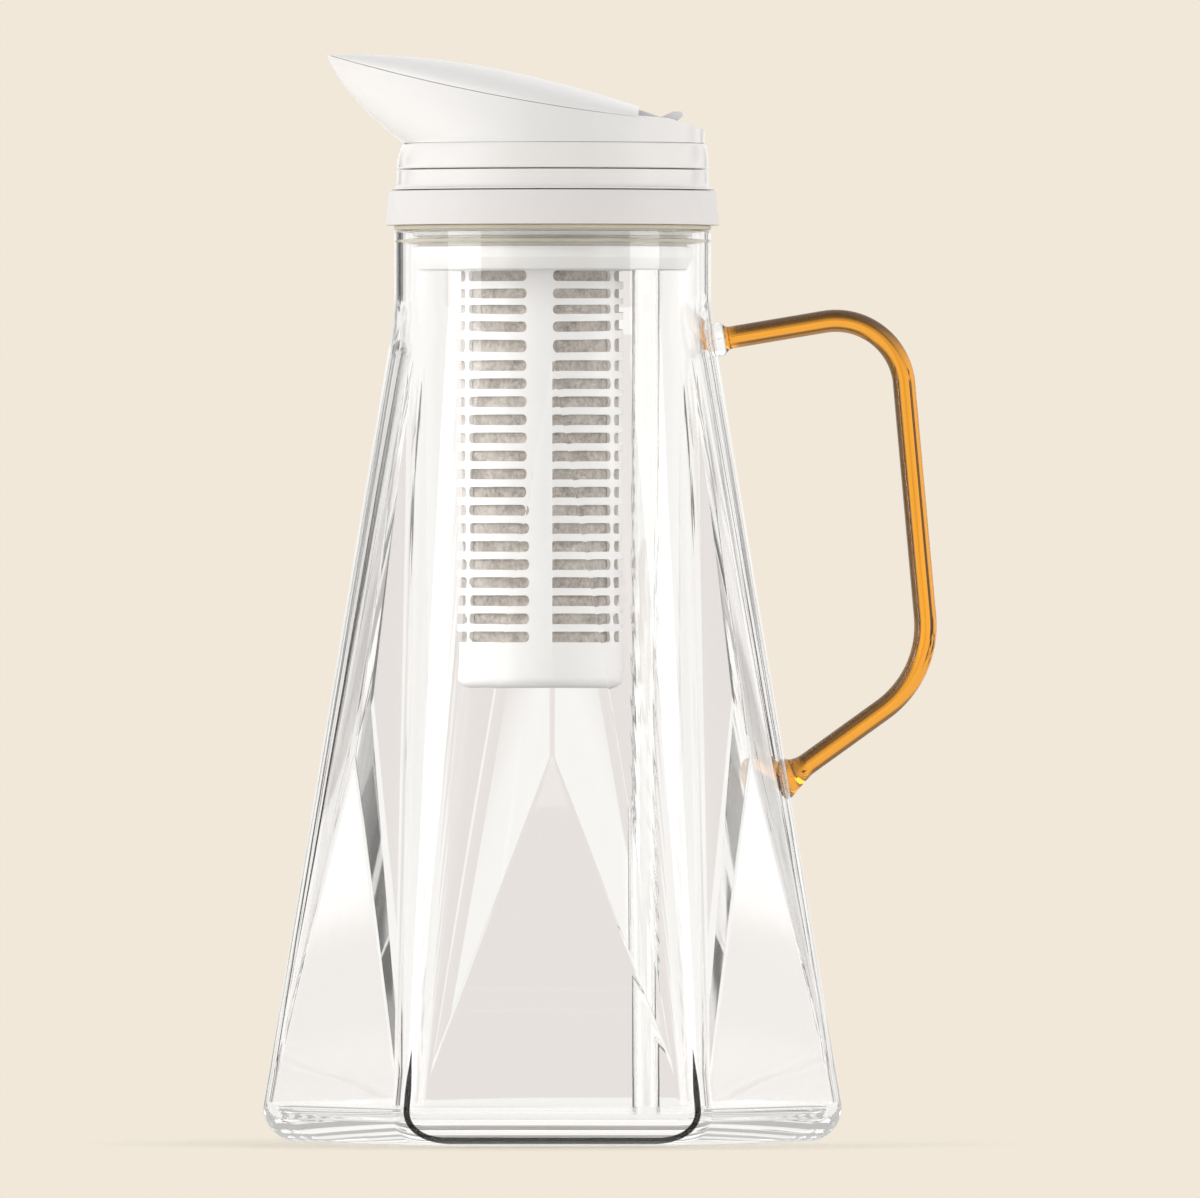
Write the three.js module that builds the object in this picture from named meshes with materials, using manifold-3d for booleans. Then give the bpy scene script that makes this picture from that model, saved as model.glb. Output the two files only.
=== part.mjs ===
// Water filter jug: a six-sided faceted glass jug with an amber glass handle and a plug-in lid.
// The lid carries a flap spout, and a filter cage and an air tube that hang down into the water.
// Millimetres, +Z up. The origin is the centre of the base on the table. The spout points along -X,
// the handle along +X, and one flat face of the glass looks along -Y.

import * as THREE from 'three';
import { mergeVertices } from 'three/addons/utils/BufferGeometryUtils.js';
import Module from 'manifold-3d';

const wasm = await Module();
wasm.setup();

// Driving dimensions of the glass body
const faceCount = 6;
const baseApothem = 69.2; // axis to a face where the body is widest
const baseFillet = 9.5; // rounding between the base and the sides
const footApothem = 67.8; // axis to a face at the feet of its facets
const footHeight = 18.8;
const cornerRound = 11; // rounding of the upright corners below the facets
const peakHeight = 104.4; // the point where the three facets of a face meet
const peakRise = 4.1; // how far that point stands out of the face
const shoulderHeight = 211; // where the faces run out into a round neck
const shoulderStep = 3; // shoulder radius less neck radius
const neckRadius = 41.8;
const neckLength = 34.8; // shoulder to rim
const neckBlend = 8; // half the height of the curve between shoulder and neck
const neckWall = 2.7;
const bodyWall = 3.4;
const floorThickness = 7.4;
const floorFillet = 5;
const innerPeakHeight = 68;
const innerPeakRise = 2.2;

// Driving dimensions of the handle
const rodRadius = 3.05;
const rodFlare = 2.5; // extra radius of the rod's lower end, where it is fused on
const rodFlareLength = 7;
const upperJointRise = 5.4; // shoulder up to the upper joint
const lowerJointHeight = 98.1;
const gripTopReach = 93.1; // corner between the top run and the grip, before it is rounded
const gripTopRise = 13.7; // shoulder up to that corner
const gripFootReach = 102; // corner between the grip and the lower run
const gripFootHeight = 125.9;
const gripTopBend = 18.5;
const gripFootBend = 28;
const bossRadius = 5;
const bossWaist = 3.6;
const bossLength = 3.2;

// Driving dimensions of the lid's rings and seals
const seat = 0.3; // gap between pieces that rest on or in each other
const gasketThickness = 1.4;
const gasketOverhang = 0.8; // gasket radius less neck radius
const collarHeight = 9.2;
const collarOverhang = 3.3;
const collarTaper = 1;
const ringOverhang = 0.2;
const lowerRingHeight = 4.9;
const upperRingHeight = 6.7;
const upperRingTaper = 0.9;
const ringEdge = 0.5; // chamfer on the visible edges of the rings

// Driving dimensions of the plug
const plugClearance = 1.3; // plug to the glass of the neck
const plugDepth = 10.5; // rim down to the plug's lower face
const plugChamfer = 1.6;
const plugWall = 3.4;
const septumThickness = 3;
const socketDepth = 8.7; // lower face up to the septum
const grooveFloor = 1.4; // depth of the groove for the lip seal
const grooveWidth = 2.8;
const grooveRise = 6.3; // lower face up to the groove
const lipThickness = 1.2;

// Driving dimensions of the spout housing and its flap
const spoutReach = 60.9; // axis to the tip of the spout
const spoutRise = 23.9; // housing base up to the tip
const spoutSwell = 2.6; // bulge of the spout's underside
const spoutNose = 3; // half width of the tip
const noseWallShare = 1.5; // wall at the spout's nose for a wall of 1 elsewhere
const noseSharpening = 1.25; // how soon, going up, the nose is down to the tip's width
const noseFullness = 0.55; // pull of the nose's width on its outline
const cheekFullness = 0.45; // pull of the reach on the outline beside the nose
const rimHalfWidth = 31;
const rimSag = 12.8; // tip height less the height that the rim curves towards
const rimRearReach = 23.5;
const rimRearRise = 6.6;
const deckRearRise = 3.6;
const deckThickness = 2;
const housingWall = 2;
const spigotHeight = 6;
const spigotWall = 2;
const flangeThickness = 1; // floor of the housing between its wall and the spigot
const flapCrestReach = 20; // the point that the crest of the flap curves towards
const flapCrestDrop = 0.4;
const flapRearReach = 31;
const flapRearRise = 7.2;
const flapThickness = 1.6;
const flapTipGap = 1; // tip of the spout back to the start of the flap
const flapLeastHalf = 0.8; // half width and height that the flap's tip thins out to
const flapLeastRise = 0.5;
const webLength = 6.4; // overlap of the flap with its hinge web
const hingeReach = 27.7;
const hingeDrop = 2.4; // deck down to the hinge axis
const pinRadius = 1;
const barrelRadius = 2.2;
const barrelHalfWidth = 11;
const earWidth = 4;
const earSkin = 1; // what closes the pin's bore at an ear's outer side
const earBack = 1; // how far the ears stand behind the flap
const tabHalfWidth = 3.5;
const tabReach = 7.8; // hinge axis back to the end of the press tab
const tabRise = 4.4;
const tabThickness = 3;
const tabEdge = 1; // chamfers of the press tab
const hingeSlack = 0.4; // side clearance of the barrel and the press tab

// Driving dimensions of the filter cage and its bayonet
const cageOffset = -3.4; // cage axis from the jug axis, along X
const cageRadius = 22.5;
const cageWall = 1.4;
const cageDrop = 112.9; // plug's lower face down to the bottom of the cage
const cageFloor = 2;
const cageFillet = 3;
const slotRows = 21;
const slotPitch = 4.87;
const slotHeight = 2.85;
const slotRound = 0.85; // corner of a slot beside a wide rib
const wideRib = 7;
const narrowRib = 1.8;
const lugReach = 1.5;
const lugHeight = 2.4;
const lugHalfAngle = 8;
const lugSlackAngle = 1;
const lugRise = 2.4; // plug's lower face up to the underside of a lug
const twistAngle = 60;

// Driving dimensions of the filter cartridge
const feltThickness = 2.2;
const capThickness = 2.6;
const coreRadius = 6.2;
const coreWall = 1.5;
const coreSlotRows = 6;
const coreSlotHeight = 9;
const coreSlotWidth = 2.4;
const nippleRadius = 5.4;
const nippleBore = 3.6;
const nippleHeight = 5.4;
const ringSection = 0.95; // section radius of the O-ring

// Driving dimensions of the air tube
const tubeOffset = 25.2;
const tubeRadius = 3.7;
const tubeWall = 1.1;
const tubeFootGap = 1.2; // floor of the jug to the end of the tube
const tubeStand = 2; // length above the septum
const grommetWall = 0.8;
const grommetFlange = 0.5;
const grommetFlangeHeight = 1.2;

// How far a cutter passes the face that it cuts
const overcut = 1;

// Facets round the pieces
const roundFacets = 36;
const smallFacets = 16; // cage, cartridge and tube
const cornerFacets = 5; // per corner of the glass
const rodFacets = 12;

// Heights and radii that follow from the driving dimensions
const shoulderRadius = neckRadius + shoulderStep;
const upperJointHeight = shoulderHeight + upperJointRise;
const gripTopHeight = shoulderHeight + gripTopRise;
const rimHeight = shoulderHeight + neckLength;
const neckBore = neckRadius - neckWall;
const gasketLow = rimHeight + seat;
const collarLow = gasketLow + gasketThickness + seat;
const lowerRingLow = collarLow + collarHeight + seat;
const upperRingLow = lowerRingLow + lowerRingHeight + seat;
const housingLow = upperRingLow + upperRingHeight + seat;
const plugRadius = neckBore - plugClearance;
const sleeveBore = plugRadius + seat; // bore of every ring that slips over the plug
const plugLow = rimHeight - plugDepth;
const septumLow = plugLow + socketDepth;
const septumHigh = septumLow + septumThickness;
const plugBore = plugRadius - plugWall;
const housingRadius = neckRadius + ringOverhang - upperRingTaper;
const deckHeight = housingLow + rimRearRise;
const hingeHeight = deckHeight - hingeDrop;
const cageLow = plugLow - cageDrop;
const cageHigh = septumLow - seat;
const cageBore = cageRadius - cageWall;
const socketRadius = cageRadius + seat;
const feltRadius = cageBore - seat;
const bottomCapLow = cageLow + cageFloor + seat;
const feltLow = bottomCapLow + capThickness + seat;
const topCapHigh = cageHigh - seat;
const feltHigh = topCapHigh - capThickness - seat;
const portRadius = nippleRadius + 2 * ringSection + seat;
const grommetBore = tubeRadius + seat / 2;
const grommetRadius = grommetBore + grommetWall;
const tubeHole = grommetRadius + seat / 2;

const radians = THREE.MathUtils.degToRad;
const lerp = THREE.MathUtils.lerp;
const vector = (x, y, z) => new THREE.Vector3(x, y, z);

// Tools for closed solids

function weld(geometry) {
  const bare = new THREE.BufferGeometry();
  bare.setAttribute('position', geometry.attributes.position);
  bare.setIndex(geometry.index);
  const merged = mergeVertices(bare, 1e-4);
  const corners = Array.from(merged.index.array);
  const kept = [];
  for (let i = 0; i < corners.length; i += 3) {
    const [a, b, c] = corners.slice(i, i + 3);
    if (a !== b && b !== c && c !== a) kept.push(a, b, c);
  }
  merged.setIndex(kept);
  return merged;
}

function solid(geometry) {
  const welded = weld(geometry);
  const mesh = new wasm.Mesh({
    numProp: 3,
    vertProperties: new Float32Array(welded.attributes.position.array),
    triVerts: new Uint32Array(welded.index.array),
  });
  return new wasm.Manifold(mesh);
}

function geometryOf(manifold) {
  const mesh = manifold.getMesh();
  const geometry = new THREE.BufferGeometry();
  geometry.setAttribute('position', new THREE.BufferAttribute(new Float32Array(mesh.vertProperties), 3));
  geometry.setIndex(Array.from(mesh.triVerts));
  return geometry;
}

// A solid through rings of equally many points, each counter-clockwise about the way they run.
// Its two ends are closed by flat fans, or its last ring is joined to its first.
function loft(rings, joined = false) {
  const count = rings[0].length;
  const points = rings.flat();
  const faces = [];
  const spans = joined ? rings.length : rings.length - 1;
  for (let ring = 0; ring < spans; ring++) {
    const low = ring * count;
    const high = ((ring + 1) % rings.length) * count;
    for (let i = 0; i < count; i++) {
      const j = (i + 1) % count;
      faces.push(low + i, low + j, high + j, low + i, high + j, high + i);
    }
  }
  const closeEnd = (start, outward) => {
    const centre = vector(0, 0, 0);
    for (let i = 0; i < count; i++) centre.addScaledVector(points[start + i], 1 / count);
    points.push(centre);
    for (let i = 0; i < count; i++) {
      const j = (i + 1) % count;
      const edge = outward ? [start + i, start + j] : [start + j, start + i];
      faces.push(points.length - 1, ...edge);
    }
  };
  if (!joined) {
    const lastStart = (rings.length - 1) * count;
    closeEnd(0, false);
    closeEnd(lastStart, true);
  }
  const geometry = new THREE.BufferGeometry().setFromPoints(points);
  geometry.setIndex(faces);
  return weld(geometry);
}

// A turned solid about an upright axis. The profile runs counter-clockwise in radius and height,
// and it is closed on itself where it doesn't start and end on the axis.
function turned(profile, facets = roundFacets, x = 0) {
  const outline = profile.map(([radius, height]) => new THREE.Vector2(radius, height));
  if (profile[0][0] > 0) outline.push(outline[0].clone());
  const geometry = new THREE.LatheGeometry(outline, facets);
  geometry.rotateX(Math.PI / 2);
  geometry.translate(x, 0, 0);
  return weld(geometry);
}

const sleeve = (inner, outer, low, high) => [[inner, low], [outer, low], [outer, high], [inner, high]];
const disc = (radius, low, high) => [[0, low], [radius, low], [radius, high], [0, high]];

// A shape drawn in X and Z, carried from -halfWidth to +halfWidth along Y
function acrossY(shape, halfWidth, curveSegments = 12) {
  const geometry = new THREE.ExtrudeGeometry(shape, {
    depth: 2 * halfWidth, bevelEnabled: false, curveSegments,
  });
  geometry.rotateX(Math.PI / 2);
  geometry.translate(0, halfWidth, 0);
  return weld(geometry);
}

const polygon = (points) => new THREE.Shape(points.map(([x, z]) => new THREE.Vector2(x, z)));

function circleShape(x, z, radius) {
  const shape = new THREE.Shape();
  shape.absarc(x, z, radius, 0, 2 * Math.PI);
  return shape;
}

// A slice of a ring between two angles in degrees, about the cage's axis
function ringSlice(inner, outer, fromAngle, toAngle, low, high) {
  const shape = new THREE.Shape();
  shape.absarc(0, 0, outer, radians(fromAngle), radians(toAngle));
  shape.absarc(0, 0, inner, radians(toAngle), radians(fromAngle), true);
  const geometry = new THREE.ExtrudeGeometry(shape, {
    depth: high - low, bevelEnabled: false, curveSegments: 6,
  });
  geometry.translate(cageOffset, 0, low);
  return weld(geometry);
}

const sector = (2 * Math.PI) / faceCount;

// Glass body: one ring of a six-sided section with round corners. The face may stand out in a ridge
// or a panel, whose edges lie at ridgeHalf either side of the face's middle and ridgeReach from the axis.
function glassRing(height, apothem, corner, ridgeHalf, ridgeReach) {
  const tilt = Math.tan(sector / 2);
  const flatHalf = (apothem - corner) * tilt;
  const cornerCentre = (apothem - corner) / Math.cos(sector / 2);
  const ring = [];
  const place = (forward, aside, turn) => {
    const x = forward * Math.cos(turn) - aside * Math.sin(turn);
    const y = forward * Math.sin(turn) + aside * Math.cos(turn);
    ring.push(vector(x, y, height));
  };
  for (let face = 0; face < faceCount; face++) {
    const turn = -Math.PI / 2 + face * sector;
    place(apothem, -flatHalf, turn);
    place(ridgeReach, -ridgeHalf, turn);
    place(ridgeReach, ridgeHalf, turn);
    place(apothem, flatHalf, turn);
    for (let step = 1; step < cornerFacets; step++) {
      const swing = sector * (step / cornerFacets - 0.5);
      place(cornerCentre + corner * Math.cos(swing), corner * Math.sin(swing), turn + sector / 2);
    }
  }
  return ring;
}

const flatRing = (height, apothem, corner) => (
  glassRing(height, apothem, corner, (apothem - corner) * Math.tan(sector / 2), apothem)
);
const roundRing = (height, radius) => glassRing(height, radius, radius, 0, radius);
const cornerReach = (apothem, corner) => (apothem - corner) / Math.cos(sector / 2) + corner;

// One skin of the glass from the base up to the start of the rim, its outside for a wall of 0
function glassSkin(inset, neckInset, low, fillet, peakZ, rise) {
  const foot = { apothem: footApothem - inset, corner: cornerRound - inset };
  const top = shoulderRadius - inset;
  const atHeight = (z) => {
    const share = (shoulderHeight - z) / (shoulderHeight - footHeight);
    return { apothem: lerp(top, foot.apothem, share), corner: lerp(top, foot.corner, share) };
  };
  const rings = [];
  const filletSteps = 3;
  const leastCorner = 0.5;
  for (let step = 0; step <= filletSteps; step++) {
    const turn = (step / filletSteps) * (Math.PI / 2);
    const draw = fillet * (1 - Math.sin(turn));
    const apothem = baseApothem - inset - draw;
    const corner = Math.max(cornerRound - inset - draw, leastCorner);
    rings.push(flatRing(low + fillet * (1 - Math.cos(turn)), apothem, corner));
  }
  rings.push(flatRing(footHeight, foot.apothem, foot.corner));
  const peak = atHeight(peakZ);
  rings.push(glassRing(peakZ, peak.apothem, peak.corner, 0, peak.apothem + rise));
  rings.push(roundRing(shoulderHeight, top));
  const lean = (cornerReach(foot.apothem, foot.corner) - top) / (shoulderHeight - footHeight);
  const neck = neckRadius - neckInset;
  const bendHeight = shoulderHeight + (top - neck) / lean;
  const blend = new THREE.QuadraticBezierCurve(
    new THREE.Vector2(neck + neckBlend * lean, bendHeight - neckBlend),
    new THREE.Vector2(neck, bendHeight),
    new THREE.Vector2(neck, bendHeight + neckBlend),
  );
  for (const point of blend.getPoints(4)) rings.push(roundRing(point.y, point.x));
  return rings;
}

function glassBody() {
  const outer = glassSkin(0, 0, 0, baseFillet, peakHeight, peakRise);
  const inner = glassSkin(bodyWall, neckWall, floorThickness, floorFillet, innerPeakHeight, innerPeakRise);
  const lip = [];
  const lipRadius = neckWall / 2;
  const lipSteps = 4;
  for (let step = 0; step <= lipSteps; step++) {
    const turn = (step / lipSteps) * Math.PI;
    const radius = neckRadius - lipRadius + lipRadius * Math.cos(turn);
    lip.push(roundRing(rimHeight - lipRadius + lipRadius * Math.sin(turn), radius));
  }
  return loft([...outer, ...lip, ...inner.reverse()]);
}

// Reach of the glass along the handle's side at a height
function glassReach(z) {
  const foot = cornerReach(footApothem, cornerRound);
  return lerp(shoulderRadius, foot, (shoulderHeight - z) / (shoulderHeight - footHeight));
}

// Handle: a bent rod in the XZ plane, from the boss on the shoulder to the flared lower joint
const plane = (x, z) => new THREE.Vector2(x, z);
const glassLean = Math.atan2(
  cornerReach(footApothem, cornerRound) - shoulderRadius, shoulderHeight - footHeight,
);
const glassNormal = plane(Math.cos(glassLean), Math.sin(glassLean));
const upperJoint = plane(glassReach(upperJointHeight), upperJointHeight).addScaledVector(glassNormal, seat);
const lowerJoint = plane(glassReach(lowerJointHeight), lowerJointHeight).addScaledVector(glassNormal, seat);
const gripTop = plane(gripTopReach, gripTopHeight);
const gripFoot = plane(gripFootReach, gripFootHeight);
const topRun = gripTop.clone().sub(upperJoint).normalize();

function bendInto(path, before, corner, after, radius) {
  const back = before.clone().sub(corner).normalize();
  const onward = after.clone().sub(corner).normalize();
  const half = Math.acos(back.dot(onward)) / 2;
  const centre = back.clone().add(onward).normalize().multiplyScalar(radius / Math.sin(half)).add(corner);
  const start = back.clone().multiplyScalar(radius / Math.tan(half)).add(corner);
  const end = onward.clone().multiplyScalar(radius / Math.tan(half)).add(corner);
  path.lineTo(start.x, start.y);
  path.absarc(centre.x, centre.y, radius, start.sub(centre).angle(), end.sub(centre).angle(), true);
}

function rodRing(point, along, radius) {
  const ring = [];
  for (let i = 0; i < rodFacets; i++) {
    const turn = (i / rodFacets) * 2 * Math.PI;
    const aside = radius * Math.cos(turn);
    ring.push(vector(point.x + along.y * aside, radius * Math.sin(turn), point.y - along.x * aside));
  }
  return ring;
}

function handleRod() {
  const start = upperJoint.clone().addScaledVector(topRun, bossLength + seat);
  const path = new THREE.Path([start]);
  bendInto(path, start, gripTop, gripFoot, gripTopBend);
  bendInto(path, gripTop, gripFoot, lowerJoint, gripFootBend);
  const points = path.getPoints(6);
  const footRun = lowerJoint.clone().sub(gripFoot).normalize();
  const flareSteps = 5;
  for (let step = flareSteps; step >= 0; step--) {
    points.push(lowerJoint.clone().addScaledVector(footRun, (-rodFlareLength * step) / flareSteps));
  }
  const rings = points.map((point, i) => {
    const before = points[Math.max(i - 1, 0)];
    const after = points[Math.min(i + 1, points.length - 1)];
    const along = after.clone().sub(before).normalize();
    const share = Math.max(1 - point.distanceTo(lowerJoint) / rodFlareLength, 0);
    along.lerp(glassNormal.clone().negate(), share * share).normalize();
    return rodRing(point, along, rodRadius + rodFlare * share * share);
  });
  return loft(rings);
}

function handleBoss() {
  const stations = [[0, bossWaist], [0.6, bossRadius], [0.85, bossRadius], [1, bossWaist]];
  return loft(stations.map(([share, radius]) => (
    rodRing(upperJoint.clone().addScaledVector(topRun, bossLength * share), topRun, radius)
  )));
}

// Lid: rings, seals and the plug that carries them

const rimGasket = () => turned(
  sleeve(sleeveBore, neckRadius + gasketOverhang, gasketLow, gasketLow + gasketThickness),
);

function lidCollar() {
  const high = collarLow + collarHeight;
  const wide = neckRadius + collarOverhang;
  const narrow = wide - collarTaper;
  return turned([
    [sleeveBore, collarLow], [wide - ringEdge, collarLow], [wide, collarLow + ringEdge],
    [narrow, high - ringEdge], [narrow - ringEdge, high], [sleeveBore, high],
  ]);
}

function lidRing(low, height, taper) {
  const wide = neckRadius + ringOverhang;
  const high = low + height;
  return turned([
    [sleeveBore, low], [wide - ringEdge, low], [wide, low + ringEdge],
    [wide - taper, high - ringEdge], [wide - taper - ringEdge, high], [sleeveBore, high],
  ]);
}

function lipSeal() {
  const low = plugLow + grooveRise + seat;
  const high = plugLow + grooveRise + grooveWidth - seat;
  const middle = (low + high) / 2;
  const inner = plugRadius - grooveFloor + seat;
  const outer = neckBore - seat;
  return turned([
    [inner, low], [plugRadius, low], [outer, middle - lipThickness / 2],
    [outer, middle + lipThickness / 2], [plugRadius, high], [inner, high],
  ]);
}

function lidPlug() {
  const grooveLow = plugLow + grooveRise;
  const grooveHigh = grooveLow + grooveWidth;
  const grooveRadius = plugRadius - grooveFloor;
  const wallHigh = housingLow - seat;
  let plug = solid(turned([
    [0, plugLow], [plugRadius - plugChamfer, plugLow], [plugRadius, plugLow + 2 * plugChamfer],
    [plugRadius, grooveLow], [grooveRadius, grooveLow], [grooveRadius, grooveHigh], [plugRadius, grooveHigh],
    [plugRadius, wallHigh], [plugBore, wallHigh], [plugBore, septumHigh], [0, septumHigh],
  ]));
  plug = plug.subtract(solid(
    turned(disc(socketRadius, plugLow - overcut, septumLow), roundFacets, cageOffset),
  ));
  plug = plug.subtract(solid(
    turned(disc(portRadius, septumLow - overcut, septumHigh + overcut), roundFacets, cageOffset),
  ));
  plug = plug.subtract(solid(
    turned(disc(tubeHole, plugLow - overcut, septumHigh + overcut), smallFacets, tubeOffset),
  ));
  // Bayonet slots: an upright entry and a level run for each of the cage's two lugs
  const slotRadius = cageRadius + lugReach + seat;
  const slotInner = socketRadius - overcut;
  const slack = lugHalfAngle + lugSlackAngle;
  const runLow = plugLow + lugRise - seat;
  const runHigh = plugLow + lugRise + lugHeight + seat;
  for (const lugAngle of [90, 270]) {
    const entry = lugAngle + twistAngle;
    const run = ringSlice(slotInner, slotRadius, lugAngle - slack, entry + slack, runLow, runHigh);
    const way = ringSlice(slotInner, slotRadius, entry - slack, entry + slack, plugLow - overcut, runHigh);
    plug = plug.subtract(solid(run)).subtract(solid(way));
  }
  return geometryOf(plug);
}

// Spout housing: a hull from the round base up to a leaf-shaped rim, trimmed by its side view

const tip = plane(-spoutReach, housingLow + spoutRise);
const rimCurve = new THREE.QuadraticBezierCurve(
  tip,
  plane((rimRearReach - spoutReach) / 2, tip.y - rimSag),
  plane(rimRearReach, deckHeight),
);
const rimAt = (x) => rimCurve.getPoint((x + spoutReach) / (rimRearReach + spoutReach)).y;
const deckLine = [[rimRearReach, deckHeight], [flapRearReach, deckHeight],
  [housingRadius, housingLow + deckRearRise]];
const hullTop = tip.y + 2 * overcut;

// Outline of the hull at a height, from the tip of the spout round by -Y
function hullRing(z, inset) {
  const share = (z - housingLow) / spoutRise;
  const base = housingRadius - inset;
  const swell = spoutSwell * 4 * share * (1 - share);
  const nose = lerp(housingRadius, spoutReach, share) + swell - noseWallShare * inset;
  const half = lerp(base, rimHalfWidth - inset, share);
  const narrowing = Math.min(Math.max(share, 0) * noseSharpening, 1);
  const noseHalf = lerp(base, spoutNose, narrowing) * noseFullness;
  const front = new THREE.CubicBezierCurve(
    plane(-nose, 0), plane(-nose, -noseHalf), plane(-nose * cheekFullness, -half), plane(0, -half),
  );
  const rear = new THREE.EllipseCurve(0, 0, base, half, -Math.PI / 2, 0);
  const quarter = [...front.getPoints(9), ...rear.getPoints(6).slice(1)];
  const mirrored = quarter.slice(1, -1).reverse().map((point) => plane(point.x, -point.y));
  return [...quarter, ...mirrored].map((point) => vector(point.x, point.y, z));
}

function hull(low, inset) {
  const rings = [];
  const steps = 4;
  for (let step = 0; step <= steps; step++) rings.push(hullRing(lerp(low, hullTop, step / steps), inset));
  return solid(loft(rings));
}

// Half width of the hull where its rim passes a station along X
function rimHalfAt(x) {
  const ring = hullRing(rimAt(x), 0);
  for (let i = 1; i < ring.length; i++) {
    const [a, b] = [ring[i - 1], ring[i]];
    if (a.x <= x && x <= b.x) return -lerp(a.y, b.y, (x - a.x) / (b.x - a.x));
  }
  return 0;
}

function spoutHousing() {
  const far = spoutReach + housingRadius;
  const wide = 2 * housingRadius;
  const rim = rimCurve.getPoints(10).map((point) => [point.x, point.y]);
  const above = polygon([[-far, tip.y], ...rim, ...deckLine.slice(1), [far, housingLow + deckRearRise],
    [far, hullTop + far], [-far, hullTop + far]]);
  const outside = hull(housingLow, 0).subtract(solid(acrossY(above, wide)));
  const deck = polygon([[rimRearReach, hullTop], [rimRearReach, deckHeight - deckThickness],
    [flapRearReach, deckHeight - deckThickness],
    [housingRadius, housingLow + deckRearRise - deckThickness], [far, hullTop]]);
  let hollow = hull(housingLow - overcut, housingWall).subtract(solid(acrossY(deck, wide)));
  const earRear = flapRearReach + earBack;
  const ear = polygon([[rimRearReach, hullTop], [rimRearReach, hingeHeight],
    [hingeReach, hingeHeight - hingeDrop], [earRear, hingeHeight], [earRear, hullTop]]);
  const earInner = barrelHalfWidth + hingeSlack;
  const ears = solid(acrossY(ear, earInner + earWidth)).subtract(solid(acrossY(ear, earInner)));
  hollow = hollow.subtract(ears);
  let housing = outside.subtract(hollow);
  // Room for the flap's barrel and press tab, and the bore for the pin
  const flangeHigh = housingLow + flangeThickness;
  const roomFront = rimRearReach - overcut;
  const roomRear = flapRearReach + seat;
  const barrelRoom = polygon([[roomFront, flangeHigh], [roomRear, flangeHigh], [roomRear, hullTop],
    [roomFront, hullTop]]);
  const tabSwing = hingeReach + Math.hypot(tabReach, tabRise + tabThickness) + hingeSlack;
  const tabRoom = polygon([[hingeReach, flangeHigh], [tabSwing, flangeHigh], [tabSwing, hullTop],
    [hingeReach, hullTop]]);
  housing = housing.subtract(solid(acrossY(barrelRoom, earInner)));
  housing = housing.subtract(solid(acrossY(tabRoom, tabHalfWidth + hingeSlack)));
  housing = housing.subtract(solid(
    acrossY(circleShape(hingeReach, hingeHeight, pinRadius + seat), earInner + earWidth - earSkin),
  ));
  const spigotOuter = plugBore - seat;
  const spigotInner = spigotOuter - spigotWall;
  const spigot = turned([
    [spigotInner, housingLow - spigotHeight], [spigotOuter, housingLow - spigotHeight],
    [spigotOuter, housingLow], [housingRadius - housingWall / 2, housingLow],
    [housingRadius - housingWall / 2, flangeHigh], [spigotInner, flangeHigh],
  ]);
  return geometryOf(housing.add(solid(spigot)));
}

// Flap: a thin domed leaf that lies on the rim, with a hinge barrel and a press tab behind it

const crestCurve = new THREE.QuadraticBezierCurve(
  tip,
  plane(-flapCrestReach, tip.y - flapCrestDrop),
  plane(flapRearReach, housingLow + flapRearRise),
);

function crestAt(x) {
  const [a, b, c] = [crestCurve.v0, crestCurve.v1, crestCurve.v2];
  const square = a.x - 2 * b.x + c.x;
  const linear = b.x - a.x;
  const share = (Math.sqrt(linear * linear - square * (a.x - x)) - linear) / square;
  return crestCurve.getPoint(share).y;
}

function flapSection(x, crest, halfWidth) {
  const low = rimAt(x) + seat;
  const arcSteps = 8;
  const arc = (half, rise) => {
    const points = [];
    for (let step = 0; step <= arcSteps; step++) {
      const turn = (step / arcSteps) * Math.PI;
      points.push(vector(x, half * Math.cos(turn), low + rise * Math.sin(turn)));
    }
    return points;
  };
  const rise = Math.max(crest - low, flapLeastRise);
  const thickness = Math.min(flapThickness, halfWidth / 2, rise / 2);
  return [...arc(halfWidth, rise), ...arc(halfWidth - thickness, rise - thickness).reverse()];
}

function spoutFlap() {
  const sections = [];
  const steps = 12;
  for (let step = 0; step <= steps; step++) {
    const share = step / steps;
    const x = lerp(tip.x + flapTipGap, rimRearReach - seat, share);
    sections.push(flapSection(x, crestAt(x), Math.max(rimHalfAt(x) - seat, flapLeastHalf)));
  }
  let flap = solid(loft(sections));
  const webTop = (x) => [x, crestAt(x) - flapThickness / 2];
  const webStart = rimRearReach - webLength;
  const web = polygon([
    webTop(webStart), [webStart, webTop(webStart)[1] - flapThickness],
    [hingeReach, hingeHeight - barrelRadius], [hingeReach + barrelRadius, hingeHeight],
    [hingeReach + barrelRadius, crestAt(hingeReach + barrelRadius) - flapThickness / 2],
    webTop(rimRearReach - seat),
  ]);
  const tabEnd = hingeReach + tabReach;
  const tab = polygon([
    [hingeReach, hingeHeight], [tabEnd - tabThickness, hingeHeight + tabEdge],
    [tabEnd, hingeHeight + tabRise - tabEdge], [tabEnd - tabEdge / 2, hingeHeight + tabRise],
    [tabEnd - tabThickness, hingeHeight + tabRise],
    [hingeReach, hingeHeight + barrelRadius],
  ]);
  flap = flap.add(solid(acrossY(web, barrelHalfWidth)));
  flap = flap.add(solid(acrossY(circleShape(hingeReach, hingeHeight, barrelRadius), barrelHalfWidth, 10)));
  flap = flap.add(solid(acrossY(tab, tabHalfWidth)));
  const bore = acrossY(circleShape(hingeReach, hingeHeight, pinRadius + seat), barrelHalfWidth + overcut, 8);
  return geometryOf(flap.subtract(solid(bore)));
}

const hingePin = () => acrossY(
  circleShape(hingeReach, hingeHeight, pinRadius),
  barrelHalfWidth + hingeSlack + earWidth - earSkin - seat, 8,
);

// Filter cage: a slotted cup with two bayonet lugs

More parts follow.
